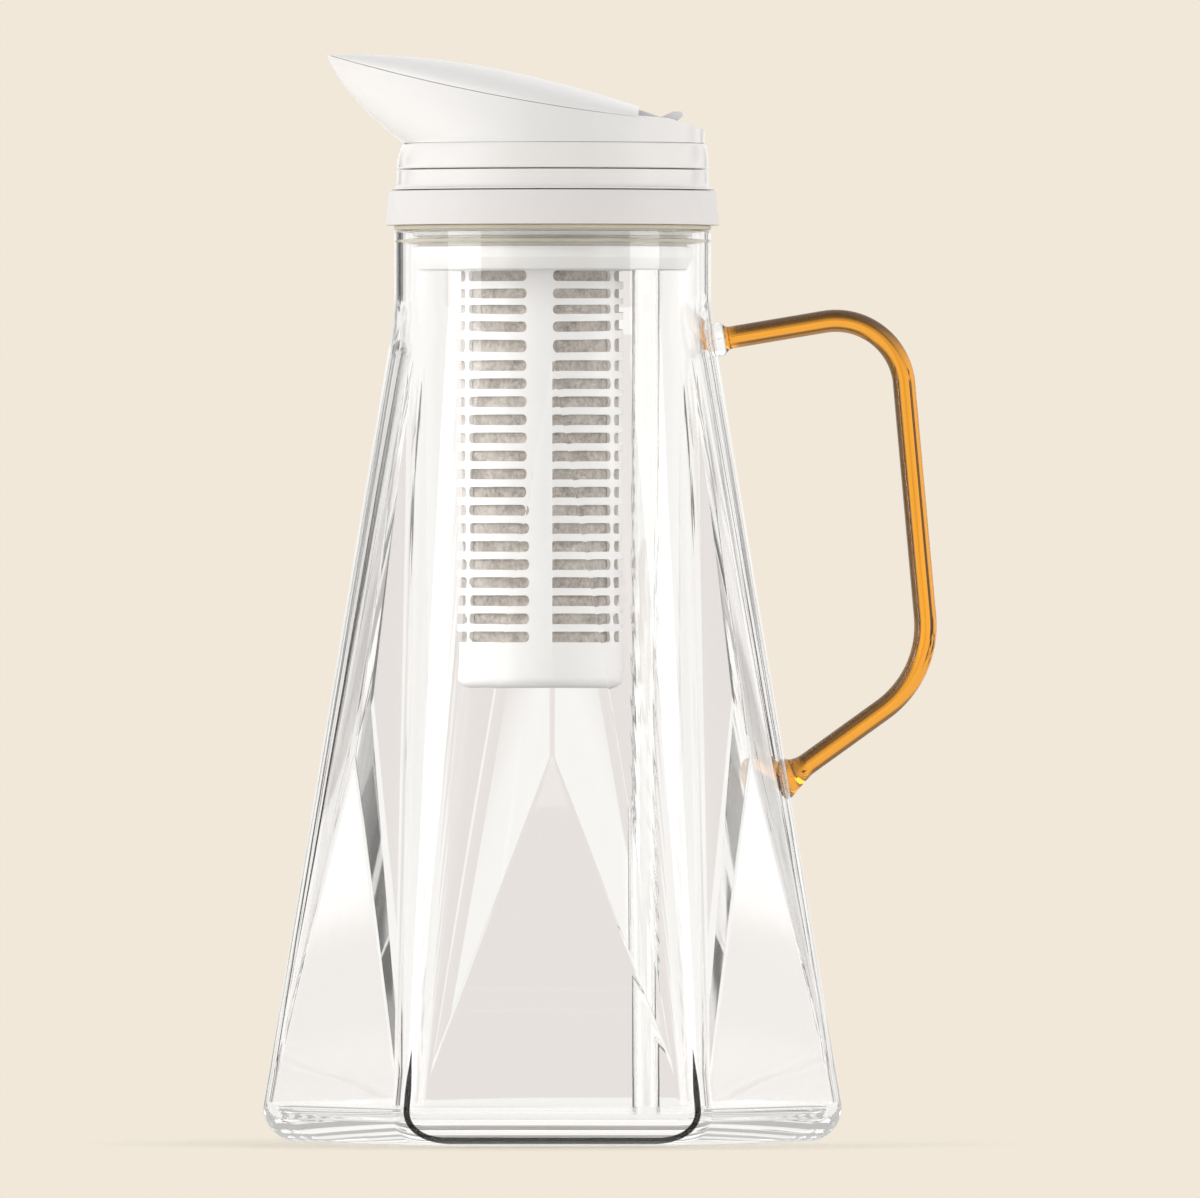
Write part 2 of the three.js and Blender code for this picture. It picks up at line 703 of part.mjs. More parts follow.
function slotShape(reach, roundStart, roundEnd) {
  const half = slotHeight / 2;
  const corner = (x, rounded) => (rounded
    ? [[x - Math.sign(x) * slotRound, half], [x, half - slotRound]] : [[x, half]]);
  const upper = [...corner(-reach, roundStart).reverse(), ...corner(reach, roundEnd)];
  const lower = upper.map(([x, z]) => [x, -z]).reverse();
  return polygon([...upper, ...lower].reverse());
}

function cageSlots() {
  const half = slotHeight / 2;
  const wideAngle = THREE.MathUtils.radToDeg(Math.asin(wideRib / 2 / cageRadius));
  const narrowAngle = THREE.MathUtils.radToDeg(Math.asin(narrowRib / 2 / cageRadius));
  const cutterStart = cageRadius / 3;
  const third = 60;
  // Each slot runs from a start to an end angle, counted from the front rib, round at a wide rib
  const spans = [
    { from: wideAngle, to: third - narrowAngle, roundStart: true },
    { from: third + narrowAngle, to: 2 * third - narrowAngle },
    { from: 2 * third + narrowAngle, to: 3 * third - wideAngle, roundEnd: true },
  ];
  const cutters = [];
  for (let row = 0; row < slotRows; row++) {
    const z = plugLow - seat - half - row * slotPitch;
    for (const side of [0, 180]) {
      for (const span of spans) {
        const middle = radians(-90 + side + (span.from + span.to) / 2);
        const reach = cageRadius * Math.sin(radians(span.to - span.from) / 2);
        const cutter = new THREE.ExtrudeGeometry(slotShape(reach, span.roundStart, span.roundEnd), {
          depth: cageRadius, bevelEnabled: false,
        });
        cutter.translate(0, 0, cutterStart);
        cutter.applyMatrix4(new THREE.Matrix4().makeBasis(
          vector(-Math.sin(middle), Math.cos(middle), 0),
          vector(0, 0, 1),
          vector(Math.cos(middle), Math.sin(middle), 0),
        ));
        cutter.translate(cageOffset, 0, z);
        cutters.push(solid(cutter));
      }
    }
  }
  return wasm.Manifold.union(cutters);
}

function filterCage() {
  const bottom = [];
  const filletSteps = 3;
  for (let step = 0; step <= filletSteps; step++) {
    const turn = (step / filletSteps) * (Math.PI / 2);
    const radius = cageRadius - cageFillet + cageFillet * Math.sin(turn);
    bottom.push([radius, cageLow + cageFillet * (1 - Math.cos(turn))]);
  }
  let cage = solid(turned([
    [0, cageLow], ...bottom, [cageRadius, cageHigh], [cageBore, cageHigh],
    [cageBore, cageLow + cageFloor], [0, cageLow + cageFloor],
  ], smallFacets, cageOffset));
  const lugLow = plugLow + lugRise;
  for (const lugAngle of [90, 270]) {
    const lug = ringSlice(cageBore + cageWall / 2, cageRadius + lugReach, lugAngle - lugHalfAngle,
      lugAngle + lugHalfAngle, lugLow, lugLow + lugHeight);
    cage = cage.add(solid(lug));
  }
  return geometryOf(cage.subtract(cageSlots()));
}

// Filter cartridge

const feltSleeve = () => turned(
  sleeve(feltRadius - feltThickness, feltRadius, feltLow, feltHigh), smallFacets, cageOffset,
);

const carbonBlock = () => turned(
  sleeve(coreRadius + seat, feltRadius - feltThickness - seat, feltLow, feltHigh), smallFacets, cageOffset,
);

function cartridgeCore() {
  let core = solid(turned(
    sleeve(coreRadius - coreWall, coreRadius, feltLow, feltHigh), smallFacets, cageOffset,
  ));
  const pitch = (feltHigh - feltLow) / coreSlotRows;
  for (let row = 0; row < coreSlotRows; row++) {
    const middle = feltLow + (row + 0.5) * pitch;
    const slot = polygon([
      [cageOffset - coreSlotWidth / 2, middle - coreSlotHeight / 2],
      [cageOffset + coreSlotWidth / 2, middle - coreSlotHeight / 2],
      [cageOffset + coreSlotWidth / 2, middle + coreSlotHeight / 2],
      [cageOffset - coreSlotWidth / 2, middle + coreSlotHeight / 2],
    ]);
    core = core.subtract(solid(acrossY(slot, 2 * coreRadius)));
  }
  return geometryOf(core);
}

const bottomCap = () => turned(
  disc(feltRadius, bottomCapLow, bottomCapLow + capThickness), smallFacets, cageOffset,
);

function topCap() {
  const low = topCapHigh - capThickness;
  return turned([
    [nippleBore, low], [feltRadius, low], [feltRadius, topCapHigh], [nippleRadius, topCapHigh],
    [nippleRadius, topCapHigh + nippleHeight], [nippleBore, topCapHigh + nippleHeight],
  ], smallFacets, cageOffset);
}

function cartridgeORing() {
  const middle = (nippleRadius + portRadius) / 2;
  const height = (septumLow + septumHigh) / 2;
  const section = [];
  const sides = 6;
  for (let side = 0; side < sides; side++) {
    const turn = (side / sides) * 2 * Math.PI;
    section.push([middle + ringSection * Math.cos(turn), height + ringSection * Math.sin(turn)]);
  }
  return turned(section, smallFacets, cageOffset);
}

// Air tube and the grommet that holds it in the plug

const airTube = () => turned(
  sleeve(tubeRadius - tubeWall, tubeRadius, floorThickness + tubeFootGap, septumHigh + tubeStand),
  smallFacets, tubeOffset,
);

function airTubeGrommet() {
  const flangeHigh = plugLow - seat;
  const flangeLow = flangeHigh - grommetFlangeHeight;
  return turned([
    [grommetBore, flangeLow], [grommetRadius + grommetFlange, flangeLow],
    [grommetRadius + grommetFlange, flangeHigh], [grommetRadius, flangeHigh],
    [grommetRadius, septumHigh], [grommetBore, septumHigh],
  ], smallFacets, tubeOffset);
}

// Finishes

const finish = (color, roughness, extra = {}) => (
  new THREE.MeshStandardMaterial({ color, roughness, metalness: 0, ...extra })
);
const clearGlass = finish(0xeef1ef, 0.04, { transparent: true, opacity: 0.35 });
const amberGlass = finish(0xe89a24, 0.05, { transparent: true, opacity: 0.75 });
const whiteGloss = finish(0xf2f1ef, 0.25);
const paleMatt = finish(0xdedbd9, 0.55);
const whiteMatt = finish(0xeceae8, 0.45);
const silicone = finish(0xcfc7ad, 0.6);
const greyFelt = finish(0x968f87, 0.95);
const blackCarbon = finish(0x2b2a29, 0.9);
const steel = finish(0xb8bbbd, 0.3, { metalness: 1 });
const clearPlastic = finish(0xeeeeec, 0.1, { transparent: true, opacity: 0.45 });

// Assembly: the jug, and the lid with what hangs from it

function piece(parent, name, geometry, material) {
  geometry.computeVertexNormals();
  const mesh = new THREE.Mesh(geometry, material.clone());
  mesh.name = name;
  parent.add(mesh);
}

const jug = new THREE.Group();
piece(jug, 'glass_body', glassBody(), clearGlass);
piece(jug, 'handle_rod', handleRod(), amberGlass);
piece(jug, 'handle_upper_boss', handleBoss(), clearGlass);

const lid = new THREE.Group();
piece(lid, 'rim_gasket', rimGasket(), silicone);
piece(lid, 'lip_seal', lipSeal(), silicone);
piece(lid, 'lid_plug', lidPlug(), whiteMatt);
piece(lid, 'lid_collar', lidCollar(), paleMatt);
piece(lid, 'lid_lower_ring', lidRing(lowerRingLow, lowerRingHeight, 0), whiteGloss);
piece(lid, 'lid_upper_ring', lidRing(upperRingLow, upperRingHeight, upperRingTaper), whiteGloss);
piece(lid, 'spout_housing', spoutHousing(), whiteGloss);
piece(lid, 'flap_hinge_pin', hingePin(), steel);
piece(lid, 'air_tube', airTube(), clearPlastic);
piece(lid, 'air_tube_grommet', airTubeGrommet(), silicone);
jug.add(lid);

const flap = new THREE.Group();
piece(flap, 'spout_flap', spoutFlap(), whiteGloss);
lid.add(flap);

const cage = new THREE.Group();
piece(cage, 'filter_cage', filterCage(), whiteMatt);
piece(cage, 'felt_sleeve', feltSleeve(), greyFelt);
piece(cage, 'carbon_block', carbonBlock(), blackCarbon);
piece(cage, 'cartridge_core', cartridgeCore(), whiteMatt);
piece(cage, 'cartridge_top_cap', topCap(), whiteMatt);
piece(cage, 'cartridge_bottom_cap', bottomCap(), whiteMatt);
piece(cage, 'cartridge_o_ring', cartridgeORing(), silicone);
lid.add(cage);

export default jug;
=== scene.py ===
# %% [markdown]
# Water filter jug. A six-sided glass jug carries a bent handle of amber glass. A plug-in lid closes its
# neck, and a pouring spout with a flap, a slotted filter cage and an air tube belong to that lid.
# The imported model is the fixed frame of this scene: every new piece is built in its place and in the same
# axes, so nothing has to be fitted afterwards.

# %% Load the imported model
import math
from collections import namedtuple

import bmesh
import bpy
from mathutils import Matrix, Vector


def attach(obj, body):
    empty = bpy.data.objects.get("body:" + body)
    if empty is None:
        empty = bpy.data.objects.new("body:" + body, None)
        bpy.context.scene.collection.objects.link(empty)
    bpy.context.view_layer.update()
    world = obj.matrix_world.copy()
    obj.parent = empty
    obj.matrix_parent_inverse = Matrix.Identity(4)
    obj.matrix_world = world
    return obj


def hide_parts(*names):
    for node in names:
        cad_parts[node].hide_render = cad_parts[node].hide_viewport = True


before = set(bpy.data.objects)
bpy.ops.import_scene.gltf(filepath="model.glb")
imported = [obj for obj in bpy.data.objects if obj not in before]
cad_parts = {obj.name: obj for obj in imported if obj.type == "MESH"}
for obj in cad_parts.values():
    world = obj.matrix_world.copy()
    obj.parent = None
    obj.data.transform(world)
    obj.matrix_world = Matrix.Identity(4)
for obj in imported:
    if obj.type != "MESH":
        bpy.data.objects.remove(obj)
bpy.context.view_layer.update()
scene = bpy.context.scene

# %% [markdown]
# The picture is taken from straight in front, level with the middle of the jug, through a very long lens:
# left and right edges of the lid look alike and the base shows as a straight line. A lens of one metre,
# nine metres away, gives that view. The frame is 324 mm wide at the jug. Light that passes through walls
# of glass is bent and mirrored many times, so more bounces are followed than a plain scene needs.

# %% Camera
FRAME_WIDTH = 0.324
LENS = 1000
SENSOR = 36
VIEW_DEPTH = 60
FRAME_MIDDLE = Vector((0.0128, 0, 0.1465))
LIGHT_BOUNCES = 32


def long_lens_camera():
    data = bpy.data.cameras.new("long_lens")
    data.lens = LENS
    data.sensor_width = SENSOR
    data.clip_end = VIEW_DEPTH
    camera = bpy.data.objects.new("long_lens", data)
    camera.location = FRAME_MIDDLE - Vector((0, FRAME_WIDTH * LENS / SENSOR, 0))
    camera.rotation_euler = (math.pi / 2, 0, 0)
    scene.collection.objects.link(camera)
    scene.camera = camera
    return camera


scene.view_settings.view_transform = "Standard"
for kind in ("max_bounces", "glossy_bounces", "transmission_bounces", "transparent_max_bounces"):
    setattr(scene.cycles, kind, LIGHT_BOUNCES)
print("camera at", [round(value, 3) for value in long_lens_camera().location])

# %% [markdown]
# Finishes are trees of nodes. They could be wired by hand in the editor, but a script can be read and run
# again. Nodes are wired often below, so short helpers add a node with its settings and join its sockets.
# An input may be a plain value or the output of another node.

# %% Helpers for node trees


def add_node(tree, kind, inputs=None, **settings):
    node = tree.nodes.new(kind)
    for name, value in settings.items():
        setattr(node, name, value)
    for name, value in (inputs or {}).items():
        if isinstance(value, bpy.types.NodeSocket):
            tree.links.new(value, node.inputs[name])
        else:
            node.inputs[name].default_value = value
    return node


def math_node(tree, operation, first, second=0.0):
    node = add_node(tree, "ShaderNodeMath", {0: first, 1: second}, operation=operation)
    return node.outputs[0]


def times(tree, first, second):
    return math_node(tree, "MULTIPLY", first, second)


def length_of(tree, vector):
    return add_node(tree, "ShaderNodeVectorMath", {0: vector}, operation="LENGTH").outputs["Value"]


def object_place(tree):
    """The place on a piece in the jug's own axes, in metres. Patterns stay put when the piece moves."""
    return add_node(tree, "ShaderNodeTexCoord").outputs["Object"]


print("node helpers ready in Blender", bpy.app.version_string)

# %% Helpers for colours and patterns


def colour_ramp(tree, factor, stops, interpolation="EASE"):
    node = add_node(tree, "ShaderNodeValToRGB", {"Fac": factor})
    ramp = node.color_ramp
    ramp.interpolation = interpolation
    while len(ramp.elements) < len(stops):
        ramp.elements.new(1)
    for element, (place, colour) in zip(ramp.elements, stops):
        element.position = place
        element.color = (*colour, 1)
    return node.outputs["Color"]


def noise(tree, place, scale, detail=2.0, roughness=0.5, distortion=0.0):
    node = add_node(tree, "ShaderNodeTexNoise", {
        "Vector": place, "Scale": scale, "Detail": detail, "Roughness": roughness,
        "Distortion": distortion})
    return node.outputs["Fac"]


def grey(level):
    return (level, level, level)


def mix_colours(tree, factor, first, second, blend="MIX"):
    node = add_node(tree, "ShaderNodeMix", data_type="RGBA", blend_type=blend)
    for socket, value in (("Factor_Float", factor), ("A_Color", first), ("B_Color", second)):
        entry = next(item for item in node.inputs if item.identifier == socket)
        if isinstance(value, bpy.types.NodeSocket):
            tree.links.new(value, entry)
        elif socket == "Factor_Float":
            entry.default_value = value
        else:
            entry.default_value = (*value, 1)
    return next(item for item in node.outputs if item.identifier == "Result_Color")


def rise_from(tree, value, low, high):
    """Grows smoothly from 0 at the low value to 1 at the high one."""
    return add_node(tree, "ShaderNodeMapRange", {"Value": value, "From Min": low, "From Max": high},
                    interpolation_type="SMOOTHSTEP").outputs[0]


def band(tree, value, limits, edge):
    """Is 1 between the limits and falls off to 0 outside them over the edge."""
    low, high = limits
    entered = rise_from(tree, value, low - edge, low)
    left = rise_from(tree, value, high, high + edge)
    return math_node(tree, "SUBTRACT", entered, left)


print("colours and patterns ready, a middle grey is", grey(0.5))

# %% [markdown]
# Clear glass has no colour of its own: it shows its surroundings, bent. So a studio is drawn round the jug,
# as a photographer would set it up. A picture of a real room could do it, but a drawn one can be placed to
# the degree. The walls are white, and darker on the camera's side. Straight behind the jug stands a pale
# grey panel under a bright strip: the flat faces show these two. A dark flag on the left draws the line
# down that edge of the neck, and broken dark frames and streaks further round end up in the ridges.
# A place in the studio is given by its bearing from straight behind the jug, in degrees, and by its rise,
# which is -1 straight below and 1 straight above.

# %% Pieces of the studio
Screen = namedtuple("Screen", "bearing rise edges")
PANEL = Screen((-2.8, 2.8), (-0.06, 0.03), (0.7, 0.003))
STRIP = Screen((-1.0, 1.0), (0.012, 0.04), (0.25, 0.002))
FLAG = Screen((-33, -18), (-0.03, 0.03), (1.0, 0.02))
STREAKS = Screen((18, 28), (-0.1, 0.12), (1.0, 0.02))
FRAMES = Screen((38, 54), (0.05, 0.25), (2.0, 0.015))
SIDE_WALLS = (78, 130)
SIDE_EDGE = 10.0
SIDE_DARKENING = 0.7
# Brightness by the bearing, and by the rise
AROUND = [(-180, 0.4), (-155, 0.45), (-140, 1.0), (-110, 0.95), (-60, 0.95), (0, 1.0), (110, 1.0),
          (140, 0.95), (155, 0.45), (180, 0.4)]
UPWARD = [(-1.0, 0.9), (-0.5, 0.95), (-0.1, 1.03), (0.0, 1.03), (0.2, 1.0), (1.0, 0.95)]
WARM_WHITE = (1.0, 0.985, 0.965)
PANEL_SHADE = (0.875, 0.83, 0.81)
STRIP_SHADE = (1.14, 1.12, 1.10)
FLAG_SHADE = (0.1, 0.097, 0.095)
DARK = (0.05, 0.047, 0.045)
PATCH_SCALE = 18.0
PATCH_DETAIL = 3.0
PATCH_STEP = (0.49, 0.52)


def screen_mask(tree, bearing, rise, screen):
    across, upward = screen.edges
    return times(tree, band(tree, bearing, screen.bearing, across), band(tree, rise, screen.rise, upward))


def levels(tree, place, stops, reach):
    """Grey levels along a value that runs from minus to plus its reach."""
    share = add_node(tree, "ShaderNodeMapRange", {"Value": place, "From Min": -reach, "From Max": reach})
    shades = [(0.5 + at / (2 * reach), grey(level)) for at, level in stops]
    return colour_ramp(tree, share.outputs[0], shades)


def white_walls(tree, bearing, rise):
    walls = mix_colours(tree, 1.0, levels(tree, bearing, AROUND, 180.0), levels(tree, rise, UPWARD, 1.0),
                        "MULTIPLY")
    walls = mix_colours(tree, 1.0, walls, WARM_WHITE, "MULTIPLY")
    walls = mix_colours(tree, screen_mask(tree, bearing, rise, PANEL), walls, PANEL_SHADE)
    return mix_colours(tree, screen_mask(tree, bearing, rise, STRIP), walls, STRIP_SHADE)


def dark_screens(tree, walls, direction, bearing, rise):
    """A whole flag for the neck, and on both sides frames and streaks that a noise breaks up."""
    aside = math_node(tree, "ABSOLUTE", bearing)
    frames = screen_mask(tree, aside, rise, FRAMES)
    streaks = screen_mask(tree, aside, rise, STREAKS)
    patches = rise_from(tree, noise(tree, direction, PATCH_SCALE, PATCH_DETAIL), *PATCH_STEP)
    broken = times(tree, math_node(tree, "MAXIMUM", frames, streaks), patches)
    studio = mix_colours(tree, screen_mask(tree, bearing, rise, FLAG), walls, FLAG_SHADE)
    return mix_colours(tree, broken, studio, DARK)


print("the flag stands from", FLAG.bearing[0], "to", FLAG.bearing[1], "degrees")

# %% [markdown]
# Only rays that come out of glass or off a gloss see the studio. For rays out of glass the side walls are
# darkened too, which gives the glass its edges. The camera sees a plain cream backdrop, and matt surfaces
# get an even, plain level of light. A light path node tells the rays apart.

# %% Surroundings
BACKDROP = (0.880, 0.807, 0.694)
EVEN_LIGHT = [(-1.0, 0.5), (-0.1, 0.7), (0.2, 0.68), (0.6, 0.42), (1.0, 0.3)]


def studio_surroundings():
    world = bpy.data.worlds.new("studio_surroundings")
    world.use_nodes = True
    world.cycles.sampling_method = "NONE"
    tree = world.node_tree
    tree.nodes.clear()
    direction = add_node(tree, "ShaderNodeTexCoord").outputs["Generated"]
    parts = add_node(tree, "ShaderNodeSeparateXYZ", {"Vector": direction}).outputs
    bearing = math_node(tree, "DEGREES", math_node(tree, "ARCTAN2", parts["X"], parts["Y"]))
    rise = parts["Z"]
    studio = dark_screens(tree, white_walls(tree, bearing, rise), direction, bearing, rise)
    path = add_node(tree, "ShaderNodeLightPath").outputs
    side = band(tree, math_node(tree, "ABSOLUTE", bearing), SIDE_WALLS, SIDE_EDGE)
    shaded = times(tree, side, path["Is Transmission Ray"])
    studio = mix_colours(tree, times(tree, shaded, SIDE_DARKENING), studio, DARK)
    mirrored = math_node(tree, "MAXIMUM", path["Is Glossy Ray"], path["Is Transmission Ray"])
    seen_in_glass = mix_colours(tree, mirrored, levels(tree, rise, EVEN_LIGHT, 1.0), studio)
    seen = mix_colours(tree, path["Is Camera Ray"], seen_in_glass, BACKDROP)
    background = add_node(tree, "ShaderNodeBackground", {"Color": seen})
    output = add_node(tree, "ShaderNodeOutputWorld")
    tree.links.new(background.outputs[0], output.inputs["Surface"])
    return world


scene.world = studio_surroundings()
print("surroundings drawn with", len(scene.world.node_tree.nodes), "nodes")

# %% [markdown]
# Four soft boxes model the white plastic: a tall one on the left, a weaker one on the right, a low one in
# front that lifts the undersides, and a broad one overhead. They don't show in glossy surfaces, because
# the studio already does.

# %% Lamps
AIM = Vector((0, 0, 0.18))
HIGH_AIM = Vector((0, 0, 0.24))
TOP_AIM = Vector((0, 0, 0.2))


def soft_box(name, place, target, width, height, power):
    data = bpy.data.lights.new(name, "AREA")
    data.shape = "RECTANGLE"
    data.size = width
    data.size_y = height
    data.energy = power
    lamp = bpy.data.objects.new(name, data)
    lamp.visible_glossy = False
    lamp.location = place
    lamp.rotation_euler = (target - Vector(place)).to_track_quat("-Z", "Y").to_euler()
    scene.collection.objects.link(lamp)
    return lamp


soft_box("left_box", (-1.35, -0.5, 0.55), AIM, 0.8, 1.4, 14)
soft_box("right_box", (1.35, -0.4, 0.5), AIM, 0.7, 1.2, 9)
soft_box("low_box", (-0.1, -1.1, 0.03), HIGH_AIM, 1.2, 0.25, 1.7)
soft_box("top_box", (0, 0.6, 1.3), TOP_AIM, 1.2, 1.2, 4)
print("lamps, watts:", {light.name: round(light.energy, 1) for light in bpy.data.lights})

# %% [markdown]
# The floor is a plain pale sheet that keeps the jug's shadow. Away from the jug it turns into the backdrop,
# so that no edge shows. Gloss sees it in a plain pale tone, and rays out of the glass pass through it to the
# studio, or the thick base would fill with its shadow.

# %% Floor
FLOOR_HALF = 1.2
FLOOR_DROP = 0.0005
FLOOR_COLOUR = (0.86, 0.80, 0.70)
FLOOR_IN_GLOSS = (0.80, 0.79, 0.77)
FLOOR_ROUGHNESS = 0.9
FLOOR_GLOSS = 0.1
FADE = (0.07, 0.13)


def fade_into_backdrop(tree, shader):
    away = length_of(tree, object_place(tree))
    far = add_node(tree, "ShaderNodeMapRange", {"Value": away, "From Min": FADE[0], "From Max": FADE[1]})
    path = add_node(tree, "ShaderNodeLightPath").outputs
    gloss = path["Is Glossy Ray"]
    plain = add_node(tree, "ShaderNodeEmission", {
        "Color": mix_colours(tree, gloss, BACKDROP, FLOOR_IN_GLOSS)})
    amount = math_node(tree, "MAXIMUM", gloss, times(tree, far.outputs[0], path["Is Camera Ray"]))
    faded = mix_shaders(tree, amount, shader, plain)
    clear = add_node(tree, "ShaderNodeBsdfTransparent")
    show(tree, mix_shaders(tree, path["Is Transmission Ray"], faded, clear))


def mix_shaders(tree, factor, first, second):
    return add_node(tree, "ShaderNodeMixShader", {0: factor, 1: first.outputs[0], 2: second.outputs[0]})


def show(tree, shader):
    tree.links.new(shader.outputs[0], tree.nodes["Material Output"].inputs["Surface"])


def new_material(name):
    material = bpy.data.materials.new(name)
    material.use_nodes = True
    tree = material.node_tree
    return material, tree, tree.nodes["Principled BSDF"]


def floor_material():
    material, tree, shader = new_material("pale_floor")
    shader.inputs["Base Color"].default_value = (*FLOOR_COLOUR, 1)
    shader.inputs["Roughness"].default_value = FLOOR_ROUGHNESS
    shader.inputs["Specular IOR Level"].default_value = FLOOR_GLOSS
    fade_into_backdrop(tree, shader)
    return material


def pale_floor():
    bm = bmesh.new()
    bmesh.ops.create_grid(bm, x_segments=1, y_segments=1, size=FLOOR_HALF)
    mesh = bpy.data.meshes.new("pale_floor")
    bm.to_mesh(mesh)
    bm.free()
    mesh.materials.append(floor_material())
    floor = bpy.data.objects.new("pale_floor", mesh)
    floor.location.z = -FLOOR_DROP
    scene.collection.objects.link(floor)
    return floor


print("floor of", [round(side, 2) for side in pale_floor().dimensions[:2]], "metres")

# %% [markdown]
# Two effects return in several finishes, so each is a node group. A group works like a function: it is
# built once, and each material calls it with its own values. The first is moulded plastic: a soft
# cloudiness in its colour, a little unevenness in its gloss and the fine skin that the mould leaves.
# The second is fire-polished glass: long gentle waves from the blowing, which make reflections swim.

# %% Node groups
NOISE_RANGE = (0.3, 0.7)
# How many waves of a noise there are in a metre
CLOUD_SCALE = 38.0
FLOW_SCALE = 9.0
HANDLED_SCALE = 120.0
RIPPLE_SCALE = 60.0
FILM_SCALE = 45.0
GRAIN_SHARE = 0.35
SHORT_WAVES = 4.0
SHORT_WAVE_SHARE = 0.12
FILM_ROUGHNESS = 0.03


def new_group(name, inputs, outputs):
    group = bpy.data.node_groups.new(name, "ShaderNodeTree")
    for label, kind, value in inputs:
        socket = group.interface.new_socket(label, in_out="INPUT", socket_type=kind)
        socket.default_value = value
    for label, kind in outputs:
        group.interface.new_socket(label, in_out="OUTPUT", socket_type=kind)
    entry = group.nodes.new("NodeGroupInput").outputs
    leaving = group.nodes.new("NodeGroupOutput").inputs
    return group, entry, leaving, object_place(group)


def spread(tree, value, low, high):
    """Brings the usual range of a noise to the range from low to high."""
    return add_node(tree, "ShaderNodeMapRange", {
        "Value": value, "From Min": NOISE_RANGE[0], "From Max": NOISE_RANGE[1], "To Min": low,
        "To Max": high}).outputs[0]


def moulded_skin_group():
    group, entry, leaving, place = new_group("moulded_skin", [
        ("Colour", "NodeSocketColor", (0.8, 0.8, 0.8, 1)),
        ("Shade", "NodeSocketColor", (0.7, 0.7, 0.7, 1)),
        ("Gloss Low", "NodeSocketFloat", 0.2),
        ("Gloss High", "NodeSocketFloat", 0.3),
        ("Grain Scale", "NodeSocketFloat", 2500.0),
    ], [("Colour", "NodeSocketColor"), ("Roughness", "NodeSocketFloat"), ("Height", "NodeSocketFloat")])
    cloud = spread(group, noise(group, place, CLOUD_SCALE, 4.0), 0.0, 1.0)
    flow = spread(group, noise(group, place, FLOW_SCALE, 2.0, distortion=1.5), 0.0, 1.0)
    shaded = mix_colours(group, times(group, cloud, flow), entry["Colour"], entry["Shade"])
    group.links.new(shaded, leaving["Colour"])
    handled = noise(group, place, HANDLED_SCALE, 5.0, 0.65)
    group.links.new(spread(group, handled, entry["Gloss Low"], entry["Gloss High"]), leaving["Roughness"])
    grain = noise(group, place, entry["Grain Scale"], 2.0)
    ripple = noise(group, place, RIPPLE_SCALE, 1.0)
    height = math_node(group, "ADD", times(group, grain, GRAIN_SHARE), ripple)
    group.links.new(height, leaving["Height"])
    return group


def fire_polish_group():
    group, entry, leaving, place = new_group("fire_polish", [
        ("Wave Scale", "NodeSocketFloat", 20.0),
        ("Stretch", "NodeSocketFloat", 0.35),
    ], [("Height", "NodeSocketFloat"), ("Roughness", "NodeSocketFloat")])
    stretch = add_node(group, "ShaderNodeCombineXYZ", {"X": 1.0, "Y": 1.0, "Z": entry["Stretch"]})
    drawn = add_node(group, "ShaderNodeVectorMath", {0: place, 1: stretch.outputs[0]}, operation="MULTIPLY")
    long_wave = noise(group, drawn.outputs[0], entry["Wave Scale"], 1.0)
    short_scale = times(group, entry["Wave Scale"], SHORT_WAVES)
    short_wave = noise(group, drawn.outputs[0], short_scale, 2.0)
    waves = math_node(group, "ADD", long_wave, times(group, short_wave, SHORT_WAVE_SHARE))
    group.links.new(waves, leaving["Height"])
    film = spread(group, noise(group, place, FILM_SCALE, 5.0, 0.6), 0.0, FILM_ROUGHNESS)
    group.links.new(film, leaving["Roughness"])
    return group


MOULDED_SKIN = moulded_skin_group()
FIRE_POLISH = fire_polish_group()
print("node groups:", [group.name for group in bpy.data.node_groups])

# %% [markdown]
# Each finish of the jug is one material. Three white plastics share the moulded skin: glossy rings and
# spout, satin plug and cage, and a matt collar that is a touch greyer. One plain white for all would look
# like plaster: on the real lid the pieces part by their gloss. The gloss is a clear coat, as polish gives.

# %% Plastics
SKIN_DEPTH = 0.00006
PLASTIC_INDEX = 1.48
COAT_ROUGHNESS = 0.06


def raise_surface(tree, shader, height, strength, distance):
    bump = add_node(tree, "ShaderNodeBump", {"Height": height, "Strength": strength, "Distance": distance})
    tree.links.new(bump.outputs["Normal"], shader.inputs["Normal"])


def moulded_plastic(name, colour, shade, gloss, grain, bump, coat=0.0):
    material, tree, shader = new_material(name)
    skin = add_node(tree, "ShaderNodeGroup", node_tree=MOULDED_SKIN)
    skin.inputs["Colour"].default_value = (*colour, 1)
    skin.inputs["Shade"].default_value = (*shade, 1)
    skin.inputs["Gloss Low"].default_value = gloss[0]
    skin.inputs["Gloss High"].default_value = gloss[1]
    skin.inputs["Grain Scale"].default_value = grain
    tree.links.new(skin.outputs["Colour"], shader.inputs["Base Color"])
    tree.links.new(skin.outputs["Roughness"], shader.inputs["Roughness"])
    raise_surface(tree, shader, skin.outputs["Height"], bump, SKIN_DEPTH)
    shader.inputs["IOR"].default_value = PLASTIC_INDEX
    shader.inputs["Coat Weight"].default_value = coat
    shader.inputs["Coat Roughness"].default_value = COAT_ROUGHNESS
    return material


WHITE_GLOSS = moulded_plastic(
    "white_gloss", (0.80, 0.79, 0.785), (0.76, 0.75, 0.745), (0.16, 0.24), 3200.0, 0.35, coat=0.3)
WHITE_SATIN = moulded_plastic(
    "white_satin", (0.92, 0.905, 0.895), (0.88, 0.865, 0.85), (0.38, 0.5), 2600.0, 0.5)
PALE_MATT = moulded_plastic(
    "pale_matt", (0.755, 0.735, 0.735), (0.715, 0.695, 0.695), (0.5, 0.62), 1500.0, 0.9)
print("plastics:", WHITE_GLOSS.name, WHITE_SATIN.name, PALE_MATT.name)

